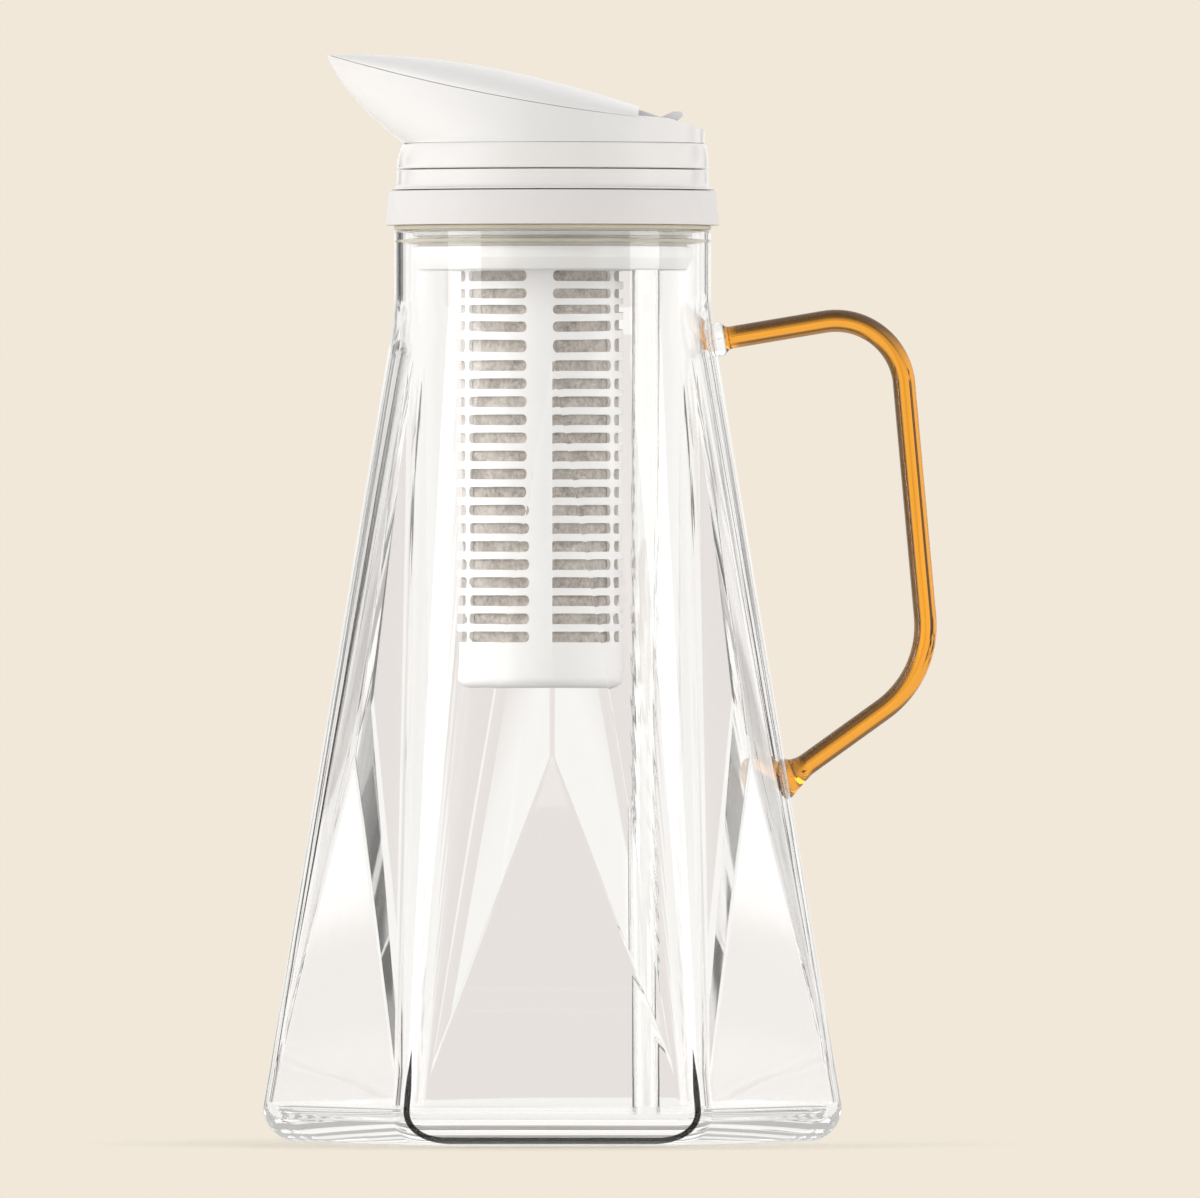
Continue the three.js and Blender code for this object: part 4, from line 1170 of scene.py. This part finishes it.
def handle_boss():
    stations = []
    for share, radius in BOSS_PROFILE:
        stations.append((UPPER_JOINT + TOP_RUN * BOSS_LENGTH * share, TOP_RUN, radius))
    boss = carry_ring(stations, ROD_SIDES)
    return store(boss, "clear_boss", "jug", ["handle_upper_boss"], CLEAR_GLASS, BOSS_CREASE)


store_painted_shade(handle_rod())
handle_boss()

# %% [markdown]
# Most of the lid is turned: a profile spun about an upright axis. Spin needs only the few points where the
# profile turns. A bevel then rounds the sharp rings, as the mould does, so that each edge catches a
# thin line of light.

# %% Turning a profile
ROUND_STEPS = 144
TURNED_CREASE = 40


def soften(bm, edge, segments=3, least_angle=25.0):
    """Rounds all edges that are sharper than an angle in degrees."""
    sharp = [item for item in bm.edges
             if len(item.link_faces) == 2 and item.calc_face_angle() > math.radians(least_angle)]
    bmesh.ops.bevel(bm, geom=sharp, offset=edge, segments=segments, profile=0.5, affect="EDGES",
                    clamp_overlap=True, material=-1)


def turned(profile, steps=ROUND_STEPS, axis_x=0.0, edge=0.0, segments=3):
    """Spins a profile of radius and height. One that starts off the axis is closed to a ring."""
    bm = bmesh.new()
    verts = [bm.verts.new((axis_x + radius, 0, height)) for radius, height in profile]
    edges = [bm.edges.new(pair) for pair in zip(verts, verts[1:])]
    if profile[0][0] > 0:
        edges.append(bm.edges.new((verts[-1], verts[0])))
    bmesh.ops.spin(bm, geom=verts + edges, cent=(axis_x, 0, 0), axis=UPRIGHT, angle=2 * math.pi,
                   steps=steps, use_merge=True)
    bmesh.ops.remove_doubles(bm, verts=bm.verts, dist=MERGE)
    bmesh.ops.recalc_face_normals(bm, faces=bm.faces)
    if edge:
        soften(bm, edge, segments)
    return bm


print("a full turn has", ROUND_STEPS, "steps")

# %% [markdown]
# Lid rings. A matt collar rests on the rim gasket. Above it lie two glossy rings, the lower one straight
# and the upper one drawn in towards the spout. All slip over the plug that enters the neck. They could be
# steps of one profile, but seams show between them, so each is turned on its own.

# %% Collar and rings
SLEEVE_BORE = 38.1
COLLAR = (247.35, 256.6)
LOWER_RING = (256.9, 262.2)
UPPER_RING = (262.5, 269.45)
RING_RADIUS = 42.1
RING_FOOT = 43.9
FOOT_THICKNESS = 0.35
FOOT_FILLET = 1.2
FOOT_STEPS = 6
COLLAR_RADIUS = 45.1
COLLAR_TAPER = 1.0
UPPER_TAPER = 0.7
SWELL_START = 0.6
SWELL_STEPS = 8
SPOUT_SIDE_TAPER = 1.1


def ring_profile(levels, wide, narrow):
    low, high = levels
    return [(SLEEVE_BORE, low), (wide, low), (narrow, high), (SLEEVE_BORE, high)]


def lower_ring():
    """A straight ring on a thin foot that stands out a little."""
    low, high = LOWER_RING
    top_of_foot = low + FOOT_THICKNESS
    start = Vector((RING_FOOT, top_of_foot))
    end = Vector((RING_RADIUS, top_of_foot + FOOT_FILLET))
    fillet = [start] + bend_points(start, Vector((RING_RADIUS, top_of_foot)), end, FOOT_STEPS)
    profile = [(SLEEVE_BORE, low), (RING_FOOT, low), *fillet, (RING_RADIUS, high), (SLEEVE_BORE, high)]
    return turned(profile, edge=0.2)


def upper_ring():
    """The ring under the spout. It swells a little and is drawn in further on the spout's side."""
    low, high = UPPER_RING
    start = Vector((RING_RADIUS, low))
    corner = Vector((RING_RADIUS, low + SWELL_START * (high - low)))
    side = [start] + bend_points(start, corner, Vector((RING_RADIUS - UPPER_TAPER, high)), SWELL_STEPS)
    bm = turned([(SLEEVE_BORE, low), *side, (SLEEVE_BORE, high)], edge=0.6, segments=4)
    for vert in bm.verts:
        if vert.co.x < 0:
            share = (vert.co.z - low) / (high - low)
            vert.co.x *= 1 - SPOUT_SIDE_TAPER * share ** 2 / RING_RADIUS
    return bm


collar = turned(ring_profile(COLLAR, COLLAR_RADIUS, COLLAR_RADIUS - COLLAR_TAPER), edge=0.3)
store(collar, "matt_collar", "lid", ["lid_collar"], PALE_MATT, TURNED_CREASE)
store(lower_ring(), "lower_ring", "lid", ["lid_lower_ring"], WHITE_GLOSS, TURNED_CREASE)
store(upper_ring(), "upper_ring", "lid", ["lid_upper_ring"], WHITE_GLOSS, TURNED_CREASE)

# %% [markdown]
# Two beige silicone seals. The gasket lies flat between the rim and the collar. The lip seal sits in a
# groove of the plug and its thin edge wipes the inside of the neck. Both are turned like the rings.

# %% Seals
GASKET = (246.1, 247.3)
PLUG_RADIUS = 37.8
SEAL_REACH = 40.5
SEAL_BORE = 36.7
SEAL_EDGE_HALF = 0.4
LIP_SEAL = (242.3, 243.8)


def lip_seal():
    low, high = LIP_SEAL
    middle = (low + high) / 2
    profile = [(SEAL_BORE, low), (PLUG_RADIUS, low), (SEAL_REACH, middle - SEAL_EDGE_HALF),
               (SEAL_REACH, middle + SEAL_EDGE_HALF), (PLUG_RADIUS, high), (SEAL_BORE, high)]
    return turned(profile, edge=0.25)


gasket = turned(ring_profile(GASKET, NECK_RADIUS, NECK_RADIUS), edge=0.4)
store(gasket, "rim_seal", "lid", ["rim_gasket"], SILICONE, TURNED_CREASE)
store(lip_seal(), "neck_seal", "lid", ["lip_seal"], SILICONE, TURNED_CREASE)

# %% [markdown]
# The plug is a cup with a floor halfway. From below, a round socket takes the filter cage, with two slots
# of a quarter-turn lock. A port leads the filtered water up and a small hole holds the air tube. The turned
# cup is cut by boolean modifiers, which are then made part of the mesh.

# %% Cutting a shape
CAGE_X = -3.4
BAR_STEPS = 96
SLICE_STEPS = 12
CARVED_CREASE = 35


def mesh_object(bm, name):
    mesh = bpy.data.meshes.new(name)
    bm.to_mesh(mesh)
    bm.free()
    made = bpy.data.objects.new(name, mesh)
    scene.collection.objects.link(made)
    return made


def carve(bm, cutters, operation="DIFFERENCE"):
    """Returns the bmesh with each cutter taken away or added."""
    target = mesh_object(bm, "carving")
    tools = [mesh_object(cutter, "carving_tool") for cutter in cutters]
    for tool in tools:
        modifier = target.modifiers.new(tool.name, "BOOLEAN")
        modifier.object = tool
        modifier.operation = operation
        modifier.solver = "EXACT"
    shaped = target.evaluated_get(bpy.context.evaluated_depsgraph_get()).to_mesh()
    result = bmesh.new()
    result.from_mesh(shaped)
    for item in [target, *tools]:
        bpy.data.meshes.remove(item.data)
    return result


def round_bar(radius, low, high, axis_x):
    return turned([(0, low), (radius, low), (radius, high), (0, high)], BAR_STEPS, axis_x)


def ring_slice(inner, outer, from_angle, to_angle, low, high):
    """A slice of a ring round the cage's axis, between two angles in degrees."""
    bm = bmesh.new()
    corners = [(inner, low), (outer, low), (outer, high), (inner, high)]
    verts = [bm.verts.new((CAGE_X + radius, 0, height)) for radius, height in corners]
    face = bm.faces.new(verts)
    start = Matrix.Rotation(math.radians(from_angle), 3, "Z")
    bmesh.ops.rotate(bm, cent=(CAGE_X, 0, 0), matrix=start, verts=verts)
    bmesh.ops.spin(bm, geom=[face], cent=(CAGE_X, 0, 0), axis=UPRIGHT,
                   angle=math.radians(to_angle - from_angle), steps=SLICE_STEPS)
    bmesh.ops.recalc_face_normals(bm, faces=bm.faces)
    return bm


print("the cage's axis stands at x", CAGE_X, "mm")

# %% Plug
PLUG_LOW = 235.3
PLUG_FOOT_RADIUS = 36.2
PLUG_TAPER_END = 238.5
PLUG_TOP = 269.2
PLUG_BORE = 34.4
SEPTUM = (244.0, 247.0)
GROOVE = (241.6, 244.4)
GROOVE_RADIUS = 36.4
SOCKET_RADIUS = 22.8
PORT_RADIUS = 7.6
TUBE_X = 25.2
TUBE_HOLE = 4.8
OVERCUT = 1.0
LUG_ANGLES = (90, 270)
LOCK = (237.4, 240.4)
LOCK_RADII = (21.8, 24.3)
LOCK_START = -9
LOCK_ENTRY = 51
LOCK_END = 69


def plug_cup():
    low, high = GROOVE
    profile = [(0, PLUG_LOW), (PLUG_FOOT_RADIUS, PLUG_LOW), (PLUG_RADIUS, PLUG_TAPER_END),
               (PLUG_RADIUS, low), (GROOVE_RADIUS, low), (GROOVE_RADIUS, high), (PLUG_RADIUS, high),
               (PLUG_RADIUS, PLUG_TOP), (PLUG_BORE, PLUG_TOP), (PLUG_BORE, SEPTUM[1]), (0, SEPTUM[1])]
    return turned(profile, edge=0.3)


def plug():
    under = PLUG_LOW - OVERCUT
    above = SEPTUM[1] + OVERCUT
    cutters = [
        round_bar(SOCKET_RADIUS, under, SEPTUM[0], CAGE_X),
        round_bar(PORT_RADIUS, SEPTUM[0] - OVERCUT, above, CAGE_X),
        round_bar(TUBE_HOLE, under, above, TUBE_X),
    ]
    for lug in LUG_ANGLES:
        cutters.append(ring_slice(*LOCK_RADII, lug + LOCK_START, lug + LOCK_END, *LOCK))
        cutters.append(ring_slice(*LOCK_RADII, lug + LOCK_ENTRY, lug + LOCK_END, under, LOCK[1]))
    return carve(plug_cup(), cutters)


store(plug(), "neck_plug", "lid", ["lid_plug"], WHITE_SATIN, CARVED_CREASE)

# %% [markdown]
# The air tube lets air down behind the pouring water. It is a plain clear tube with cut ends, held by a
# small silicone grommet in the floor of the plug. Both are turned about the tube's own axis.

# %% Air tube and grommet
TUBE = (8.6, 249.0)
TUBE_RADII = (3.1, 3.7)
TUBE_STEPS = 48
GROMMET = (235.4, 247.0)
GROMMET_RADII = (3.85, 4.65)
GROMMET_STEPS = 64


def pipe(radii, levels, steps, axis_x, edge):
    """A plain tube between two radii and two heights."""
    inner, outer = radii
    low, high = levels
    return turned([(inner, low), (outer, low), (outer, high), (inner, high)], steps, axis_x, edge)


tube = pipe(TUBE_RADII, TUBE, TUBE_STEPS, TUBE_X, 0.25)
store(tube, "clear_air_tube", "lid", ["air_tube"], CLEAR_PLASTIC, TURNED_CREASE)
grommet = pipe(GROMMET_RADII, GROMMET, GROMMET_STEPS, TUBE_X, 0.2)
store(grommet, "tube_grommet", "lid", ["air_tube_grommet"], SILICONE, TURNED_CREASE)

# %% [markdown]
# The spout housing grows out of the upper ring: a round foot, and above it a hull that runs forward into a
# pouring beak. Its rim sags in a long curve. One circle of points is extruded upwards, and each level is
# moved on to the outline of the hull at its height, up to the rim itself.

# %% Outline of the hull
HOUSING_LOW = 269.5
HOUSING_RADIUS = 41.1
SPOUT_REACH = 60.9
SPOUT_RISE = 23.9
SPOUT_SWELL = 2.9
SPOUT_FOOT = 40.3
BEAK_HALF = 3
BEAK_CLOSES = 1.25
BEAK_ROUND = 0.55
BEAK_WALL = 1.5
CHEEK = 0.45
RIM_HALF_WIDTH = 31
RIM_SAG = 12.8
RIM_REAR = 23.5
DECK_HEIGHT = 276.1
DECK_BREAK = 31
DECK_REAR_HEIGHT = 273.1
TIP_HEIGHT = HOUSING_LOW + SPOUT_RISE
SEARCH_STEPS = 40


def blend(first, second, share):
    return first + (second - first) * share


def rim_height(x):
    """Height of the housing's upper edge over a place along the jug."""
    if x > DECK_BREAK:
        return blend(DECK_HEIGHT, DECK_REAR_HEIGHT, (x - DECK_BREAK) / (HOUSING_RADIUS - DECK_BREAK))
    share = min(max((x + SPOUT_REACH) / (RIM_REAR + SPOUT_REACH), 0), 1)
    sagged = blend(TIP_HEIGHT, TIP_HEIGHT - RIM_SAG, share)
    return blend(sagged, blend(TIP_HEIGHT - RIM_SAG, DECK_HEIGHT, share), share)


def curve_point(points, share):
    """A point of the smooth curve that its first, last and guiding points between them give."""
    while len(points) > 1:
        points = [first.lerp(second, share) for first, second in zip(points, points[1:])]
    return points[0]


def hull_point(way, height, inset=0.0):
    """A point of the hull's half outline. The way is 0 at the beak, 1 at the side and 2 behind."""
    share = (height - HOUSING_LOW) / SPOUT_RISE
    base = HOUSING_RADIUS - inset
    swell = SPOUT_SWELL * 4 * share * (1 - share)
    nose = blend(SPOUT_FOOT, SPOUT_REACH, share) + swell - BEAK_WALL * inset
    half = blend(base, RIM_HALF_WIDTH - inset, share)
    if way < 1:
        beak = blend(base, BEAK_HALF, min(max(share, 0) * BEAK_CLOSES, 1)) * BEAK_ROUND
        front = [(-nose, 0), (-nose, beak), (-CHEEK * nose, half), (0, half)]
        return curve_point([Vector(point) for point in front], way)
    turn = (way - 1) * math.pi / 2
    return Vector((base * math.sin(turn), half * math.cos(turn)))


def rim_point(way, inset=0.0):
    """Where the outline meets the housing's upper edge."""
    height = DECK_HEIGHT
    for _ in range(SEARCH_STEPS):
        height = blend(height, rim_height(hull_point(way, height, inset).x), 0.5)
    flat = hull_point(way, height, inset)
    return Vector((flat.x, flat.y, height))


print("tip of the spout at", [round(value, 1) for value in rim_point(0)])

# %% [markdown]
# The housing is that hull with a hollow in it. Behind, a deck closes it, with a room for the flap's hinge
# and one for its press tab. A spigot under it goes into the plug. The rooms are cut out and the spigot is
# joined on by boolean modifiers.

# %% Hull and blocks
HULL_SIDES = 144
HULL_LEVELS = 14


def hull_way(place):
    """The way along the half outline, and the side, of a point of the starting circle."""
    turn = math.atan2(abs(place.y), -place.x)
    return turn / (math.pi / 2), (-1.0 if place.y < 0 else 1.0)


def hull_shell(low, inset, over):
    """The closed hull from a low level up to its rim, or over it."""
    bm = bmesh.new()
    way = bm.verts.layers.float.new("way")
    side = bm.verts.layers.float.new("side")
    verts = bmesh.ops.create_circle(bm, cap_ends=True, segments=HULL_SIDES, radius=HOUSING_RADIUS)["verts"]
    ring = edges_of(verts)
    for vert in verts:
        vert[way], vert[side] = hull_way(vert.co)
    for level in range(HULL_LEVELS + 1):
        if level:
            verts, ring = raise_ring(bm, ring)
        for vert in verts:
            top = rim_point(vert[way], inset).z + over
            height = blend(low, top, level / HULL_LEVELS)
            flat = hull_point(vert[way], height, inset)
            vert.co = (flat.x, flat.y * vert[side], height)
    bmesh.ops.contextual_create(bm, geom=ring)
    bmesh.ops.triangulate(bm, faces=[face for face in bm.faces if len(face.verts) > 4])
    bmesh.ops.recalc_face_normals(bm, faces=bm.faces)
    return bm


def block(corners, half_width):
    """A closed outline in X and Z, carried across the jug by half_width to both sides."""
    bm = bmesh.new()
    verts = [bm.verts.new((x, -half_width, z)) for x, z in corners]
    face = bm.faces.new(verts)
    made = bmesh.ops.extrude_face_region(bm, geom=[face])["geom"]
    moved = [item for item in made if isinstance(item, bmesh.types.BMVert)]
    bmesh.ops.translate(bm, vec=(0, 2 * half_width, 0), verts=moved)
    bmesh.ops.recalc_face_normals(bm, faces=bm.faces)
    return bm


print("the hull has", HULL_SIDES, "sides and", HULL_LEVELS, "levels")

# %% Spout housing
HOUSING_WALL = 2.0
HOUSING_FLOOR = 270.5
HOLLOW_OVER = 6
DECK_THICKNESS = 2
CLEAR_ABOVE = TIP_HEIGHT + 10
CLEAR_ROUND = 60
HINGE = Vector((27.7, 0, 273.7))
HINGE_ROOM = (22.5, 31.3)
EAR_INNER = 11.4
TAB_HALF = 3.5
TAB_PLAY = 0.4
TAB_ROOM_END = 38.4
SPIGOT_LOW = 263.5
SPIGOT_RADII = (32.1, 34.1)
SPIGOT_FLANGE = 40.1


def above_deck():
    """All of the hollow that lies behind the rim, down to the deck's underside."""
    low = DECK_HEIGHT - DECK_THICKNESS
    rear_low = DECK_REAR_HEIGHT - DECK_THICKNESS
    return block([(RIM_REAR, CLEAR_ABOVE), (RIM_REAR, low), (DECK_BREAK, low), (HOUSING_RADIUS, rear_low),
                  (CLEAR_ROUND, rear_low), (CLEAR_ROUND, CLEAR_ABOVE)], CLEAR_ROUND)


def room_in_deck(front, back, half_width):
    return block([(front, HOUSING_FLOOR), (back, HOUSING_FLOOR), (back, CLEAR_ABOVE), (front, CLEAR_ABOVE)],
                 half_width)


def spigot():
    inner, outer = SPIGOT_RADII
    return turned([(inner, SPIGOT_LOW), (outer, SPIGOT_LOW), (outer, HOUSING_LOW),
                   (SPIGOT_FLANGE, HOUSING_LOW), (SPIGOT_FLANGE, HOUSING_FLOOR), (inner, HOUSING_FLOOR)])


def spout_housing():
    hollow = carve(hull_shell(HOUSING_LOW - OVERCUT, HOUSING_WALL, HOLLOW_OVER), [above_deck()])
    hinge_room = room_in_deck(*HINGE_ROOM, EAR_INNER)
    tab_room = room_in_deck(HINGE.x, TAB_ROOM_END, TAB_HALF + TAB_PLAY)
    shell = carve(hull_shell(HOUSING_LOW, 0, 0), [hollow, hinge_room, tab_room])
    return carve(shell, [spigot()], "UNION")


store(spout_housing(), "spout", "lid", ["spout_housing"], WHITE_GLOSS, CARVED_CREASE)

# %% [markdown]
# The flap is a thin domed leaf that closes the spout. It starts as a flat grid in the leaf's plan, each row
# is arched up to a crest line, and solidify gives the sheet its thickness. A barrel, a web and a small
# press tab behind it belong to the same moulding.

# %% Leaf of the flap
CREST = [Vector((-60.9, 293.4)), Vector((-20, 295.0)), Vector((31, 276.7))]
FLAP_START = -59.9
FLAP_END = 23.2
FLAP_THICKNESS = 1.6
FLAP_GAP = 0.14
FLAP_ROWS = 80
FLAP_COLUMNS = 40
LEAST_HALF = 0.8
LEAST_RISE = 0.5
REAR_WAY = 1.6


def point_at(curve, x, last):
    """Halves the way along a curve until it reaches the place x."""
    low, high = 0.0, last
    for _ in range(SEARCH_STEPS):
        middle = (low + high) / 2
        if curve(middle).x < x:
            low = middle
        else:
            high = middle
    return curve(low)


def crest_point(share):
    return curve_point(CREST, share)


def crest_height(x):
    return point_at(crest_point, x, 1.0).y


def flap_leaf():
    bm = bmesh.new()
    bmesh.ops.create_grid(bm, x_segments=FLAP_ROWS, y_segments=FLAP_COLUMNS, size=1)
    rows = {}
    for vert in bm.verts:
        rows.setdefault(round(vert.co.x, 5), []).append(vert)
    for along, verts in rows.items():
        x = blend(FLAP_START, FLAP_END, (along + 1) / 2)
        half = max(point_at(rim_point, x, REAR_WAY).y - FLAP_GAP, LEAST_HALF)
        low = rim_height(x) + FLAP_GAP
        rise = max(crest_height(x) - low, LEAST_RISE)
        for vert in verts:
            turn = vert.co.y * math.pi / 2
            vert.co = (x, half * math.sin(turn), low + rise * math.cos(turn))
    bmesh.ops.recalc_face_normals(bm, faces=bm.faces)
    if sum(face.normal.z for face in bm.faces) < 0:
        bmesh.ops.reverse_faces(bm, faces=bm.faces)
    bmesh.ops.solidify(bm, geom=bm.faces, thickness=FLAP_THICKNESS)
    return bm


print("crest of the flap over the axis:", round(crest_height(0), 1), "mm")

# %% Hinge and press tab of the flap
BARREL_RADIUS = 2.2
BARREL_HALF = 11.0
BARREL_STEPS = 32
WEB_REACH = 6
TAB_OUTLINE = [(0, 0), (4.8, 1.0), (7.8, 3.4), (7.3, 4.4), (4.8, 4.4), (0, 2.2)]


def hinge_barrel():
    bm = bmesh.new()
    place = Matrix.Translation(HINGE) @ Matrix.Rotation(math.pi / 2, 4, "X")
    bmesh.ops.create_cone(bm, cap_ends=True, segments=BARREL_STEPS, radius1=BARREL_RADIUS,
                          radius2=BARREL_RADIUS, depth=2 * BARREL_HALF, matrix=place)
    soften(bm, 0.3)
    return bm


def hinge_web():
    under = 0.5 * FLAP_THICKNESS
    thick = 1.5 * FLAP_THICKNESS
    front = FLAP_END - WEB_REACH
    back = HINGE.x + BARREL_RADIUS
    bm = block([(front, crest_height(front) - under), (front, crest_height(front) - thick),
                (HINGE.x, HINGE.z - BARREL_RADIUS), (back, HINGE.z), (back, crest_height(back) - under),
                (FLAP_END, crest_height(FLAP_END) - under)], BARREL_HALF)
    soften(bm, 0.3)
    return bm


def press_tab():
    bm = block([(HINGE.x + along, HINGE.z + rise) for along, rise in TAB_OUTLINE], TAB_HALF)
    soften(bm, 0.35)
    return bm


flap = join(flap_leaf(), hinge_barrel(), hinge_web(), press_tab())
store(flap, "pouring_flap", "flap", ["spout_flap"], WHITE_GLOSS, CARVED_CREASE)

# %% [markdown]
# The filter cage is a slotted cup. Its wall is spun in pieces, a rib, then a row of slots, then a rib, from
# one upright line that has a point at the top and bottom of every slot. The faces in the windows are
# deleted, the corners of each window are drawn in to a round head, and solidify gives the wall its
# thickness. Cutting some 120 slots by booleans would work too, but this keeps the mesh clean.

# %% Plan of the filter cage
CAGE_RADIUS = 22.5
CAGE_LOW = 122.4
CAGE_HIGH = 243.7
CAGE_FILLET = 3.0
CAGE_FILLET_STEPS = 8
SLOT_ROWS = 21
SLOT_PITCH = 4.87
SLOT_HEIGHT = 2.85
SLOT_GAP = 0.3
FIRST_SLOT = PLUG_LOW - SLOT_GAP - SLOT_HEIGHT / 2
SLOT_ROUND = 1.2
SLOT_END = SLOT_ROUND / CAGE_RADIUS
END_STEPS = 5
WINDOW_STEPS = 14
WIDE_RIB = 7.0
WIDE_STEPS = 6
NARROW_RIB = 1.8
NARROW_STEPS = 2


def cage_line():
    """Radius and height of the outer line, from the middle of the floor up over every slot's edges."""
    corner = CAGE_RADIUS - CAGE_FILLET
    line = [(0, CAGE_LOW), (corner, CAGE_LOW)]
    for step in range(1, CAGE_FILLET_STEPS + 1):
        turn = step / CAGE_FILLET_STEPS * math.pi / 2
        rise = CAGE_FILLET * (1 - math.cos(turn))
        line.append((corner + CAGE_FILLET * math.sin(turn), CAGE_LOW + rise))
    for row in range(SLOT_ROWS - 1, -1, -1):
        middle = FIRST_SLOT - row * SLOT_PITCH
        line += [(CAGE_RADIUS, middle - SLOT_HEIGHT / 2), (CAGE_RADIUS, middle + SLOT_HEIGHT / 2)]
    return line + [(CAGE_RADIUS, CAGE_HIGH)]


def cage_spans():
    """Angles in turn round the cage from the front: a rib or a window, with its number of steps."""
    wide = 2 * math.asin(WIDE_RIB / 2 / CAGE_RADIUS)
    narrow = 2 * math.asin(NARROW_RIB / 2 / CAGE_RADIUS)
    outer = math.pi / 3 - wide / 2 - narrow / 2
    inner = math.pi / 3 - narrow
    end = (SLOT_END, END_STEPS, True)
    half_round = [(wide, WIDE_STEPS, False)]
    for window in (outer, inner, outer):
        middle = (window - 2 * SLOT_END, WINDOW_STEPS, True)
        half_round += [end, middle, end, (narrow, NARROW_STEPS, False)]
    return half_round[:-1] * 2, -math.pi / 2 - wide / 2


print("lowest slot at", round(FIRST_SLOT - (SLOT_ROWS - 1) * SLOT_PITCH, 2), "mm")

# %% Filter cage
CAGE_WALL = 1.1
NEAR = 0.01
LUG = (237.7, 240.1)
LUG_REACH = 24.0
LUG_ROOT = 0.5
LUG_HALF_ANGLE = 8


def slot_middle(height):
    """The height of the nearest slot's middle."""
    row = min(max(round((FIRST_SLOT - height) / SLOT_PITCH), 0), SLOT_ROWS - 1)
    return FIRST_SLOT - row * SLOT_PITCH


def in_slot(face):
    height = face.calc_center_median().z
    return abs(slot_middle(height) - height) < SLOT_HEIGHT / 4


def round_slot_ends(bm, rib_angles):
    """Pulls the corners of each window together, so that it ends in a rounded head beside its rib."""
    for vert in bm.verts:
        rise = vert.co.z - slot_middle(vert.co.z)
        if abs(abs(rise) - SLOT_HEIGHT / 2) > NEAR:
            continue
        turn = math.atan2(vert.co.y, vert.co.x - CAGE_X)
        nearest = min(abs(math.remainder(turn - angle, 2 * math.pi)) for angle in rib_angles) * CAGE_RADIUS
        missing = max(SLOT_ROUND - nearest, 0)
        pulled = SLOT_ROUND - math.sqrt(SLOT_ROUND ** 2 - missing ** 2)
        vert.co.z -= math.copysign(pulled, rise)


def cage_wall():
    bm = bmesh.new()
    verts = [bm.verts.new((CAGE_X + radius, 0, height)) for radius, height in cage_line()]
    edges = [bm.edges.new(pair) for pair in zip(verts, verts[1:])]
    spans, turn = cage_spans()
    bmesh.ops.rotate(bm, cent=(CAGE_X, 0, 0), matrix=Matrix.Rotation(turn, 3, "Z"), verts=verts)
    line = verts + edges
    windows = []
    rib_angles = []
    for angle, steps, is_window in spans:
        known = set(bm.faces)
        made = bmesh.ops.spin(bm, geom=line, cent=(CAGE_X, 0, 0), axis=UPRIGHT, angle=angle, steps=steps)
        line = made["geom_last"]
        if is_window:
            windows += [face for face in bm.faces if face not in known and in_slot(face)]
        else:
            rib_angles += [turn, turn + angle]
        turn += angle
    bmesh.ops.delete(bm, geom=windows, context="FACES")
    bmesh.ops.remove_doubles(bm, verts=bm.verts, dist=2 * MERGE)
    round_slot_ends(bm, rib_angles)
    bmesh.ops.recalc_face_normals(bm, faces=bm.faces)
    bmesh.ops.solidify(bm, geom=bm.faces, thickness=CAGE_WALL)
    return bm


def cage_lug(angle):
    first = angle - LUG_HALF_ANGLE
    last = angle + LUG_HALF_ANGLE
    return ring_slice(CAGE_RADIUS - LUG_ROOT, LUG_REACH, first, last, *LUG)


slotted = join(cage_wall(), *[cage_lug(angle) for angle in LUG_ANGLES])
cage = store(slotted, "slotted_cage", "filter", ["filter_cage"], WHITE_SATIN, CARVED_CREASE)
print("cage reaches", [round(side / MILLIMETRE, 2) for side in cage.dimensions], "mm")

# %% [markdown]
# Inside the cage stands the cartridge: a felt sleeve round a carbon block, with a cap at each end. Only
# the felt shows through the slots, so it alone is turned anew, with soft edges.

# %% Felt sleeve
FELT = (127.6, 240.5)
FELT_RADIUS = 21.3
FELT_THICKNESS = 2.2
FELT_STEPS = 120

felt = pipe((FELT_RADIUS - FELT_THICKNESS, FELT_RADIUS), FELT, FELT_STEPS, CAGE_X, 0.4)
store(felt, "felt_wrap", "filter", ["felt_sleeve"], GREY_FELT, TURNED_CREASE)

# %% [markdown]
# The other parts of the cartridge and the hinge pin hardly show in any pose. They keep the plain
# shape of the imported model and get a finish.

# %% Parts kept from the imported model
KEPT = {
    "carbon_block": CARBON,
    "cartridge_core": WHITE_SATIN,
    "cartridge_top_cap": WHITE_SATIN,
    "cartridge_bottom_cap": WHITE_SATIN,
    "cartridge_o_ring": SILICONE,
    "flap_hinge_pin": STEEL,
}
for name, material in KEPT.items():
    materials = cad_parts[name].data.materials
    materials.clear()
    materials.append(material)
print("carried over:", [name for name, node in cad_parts.items() if not node.hide_render])
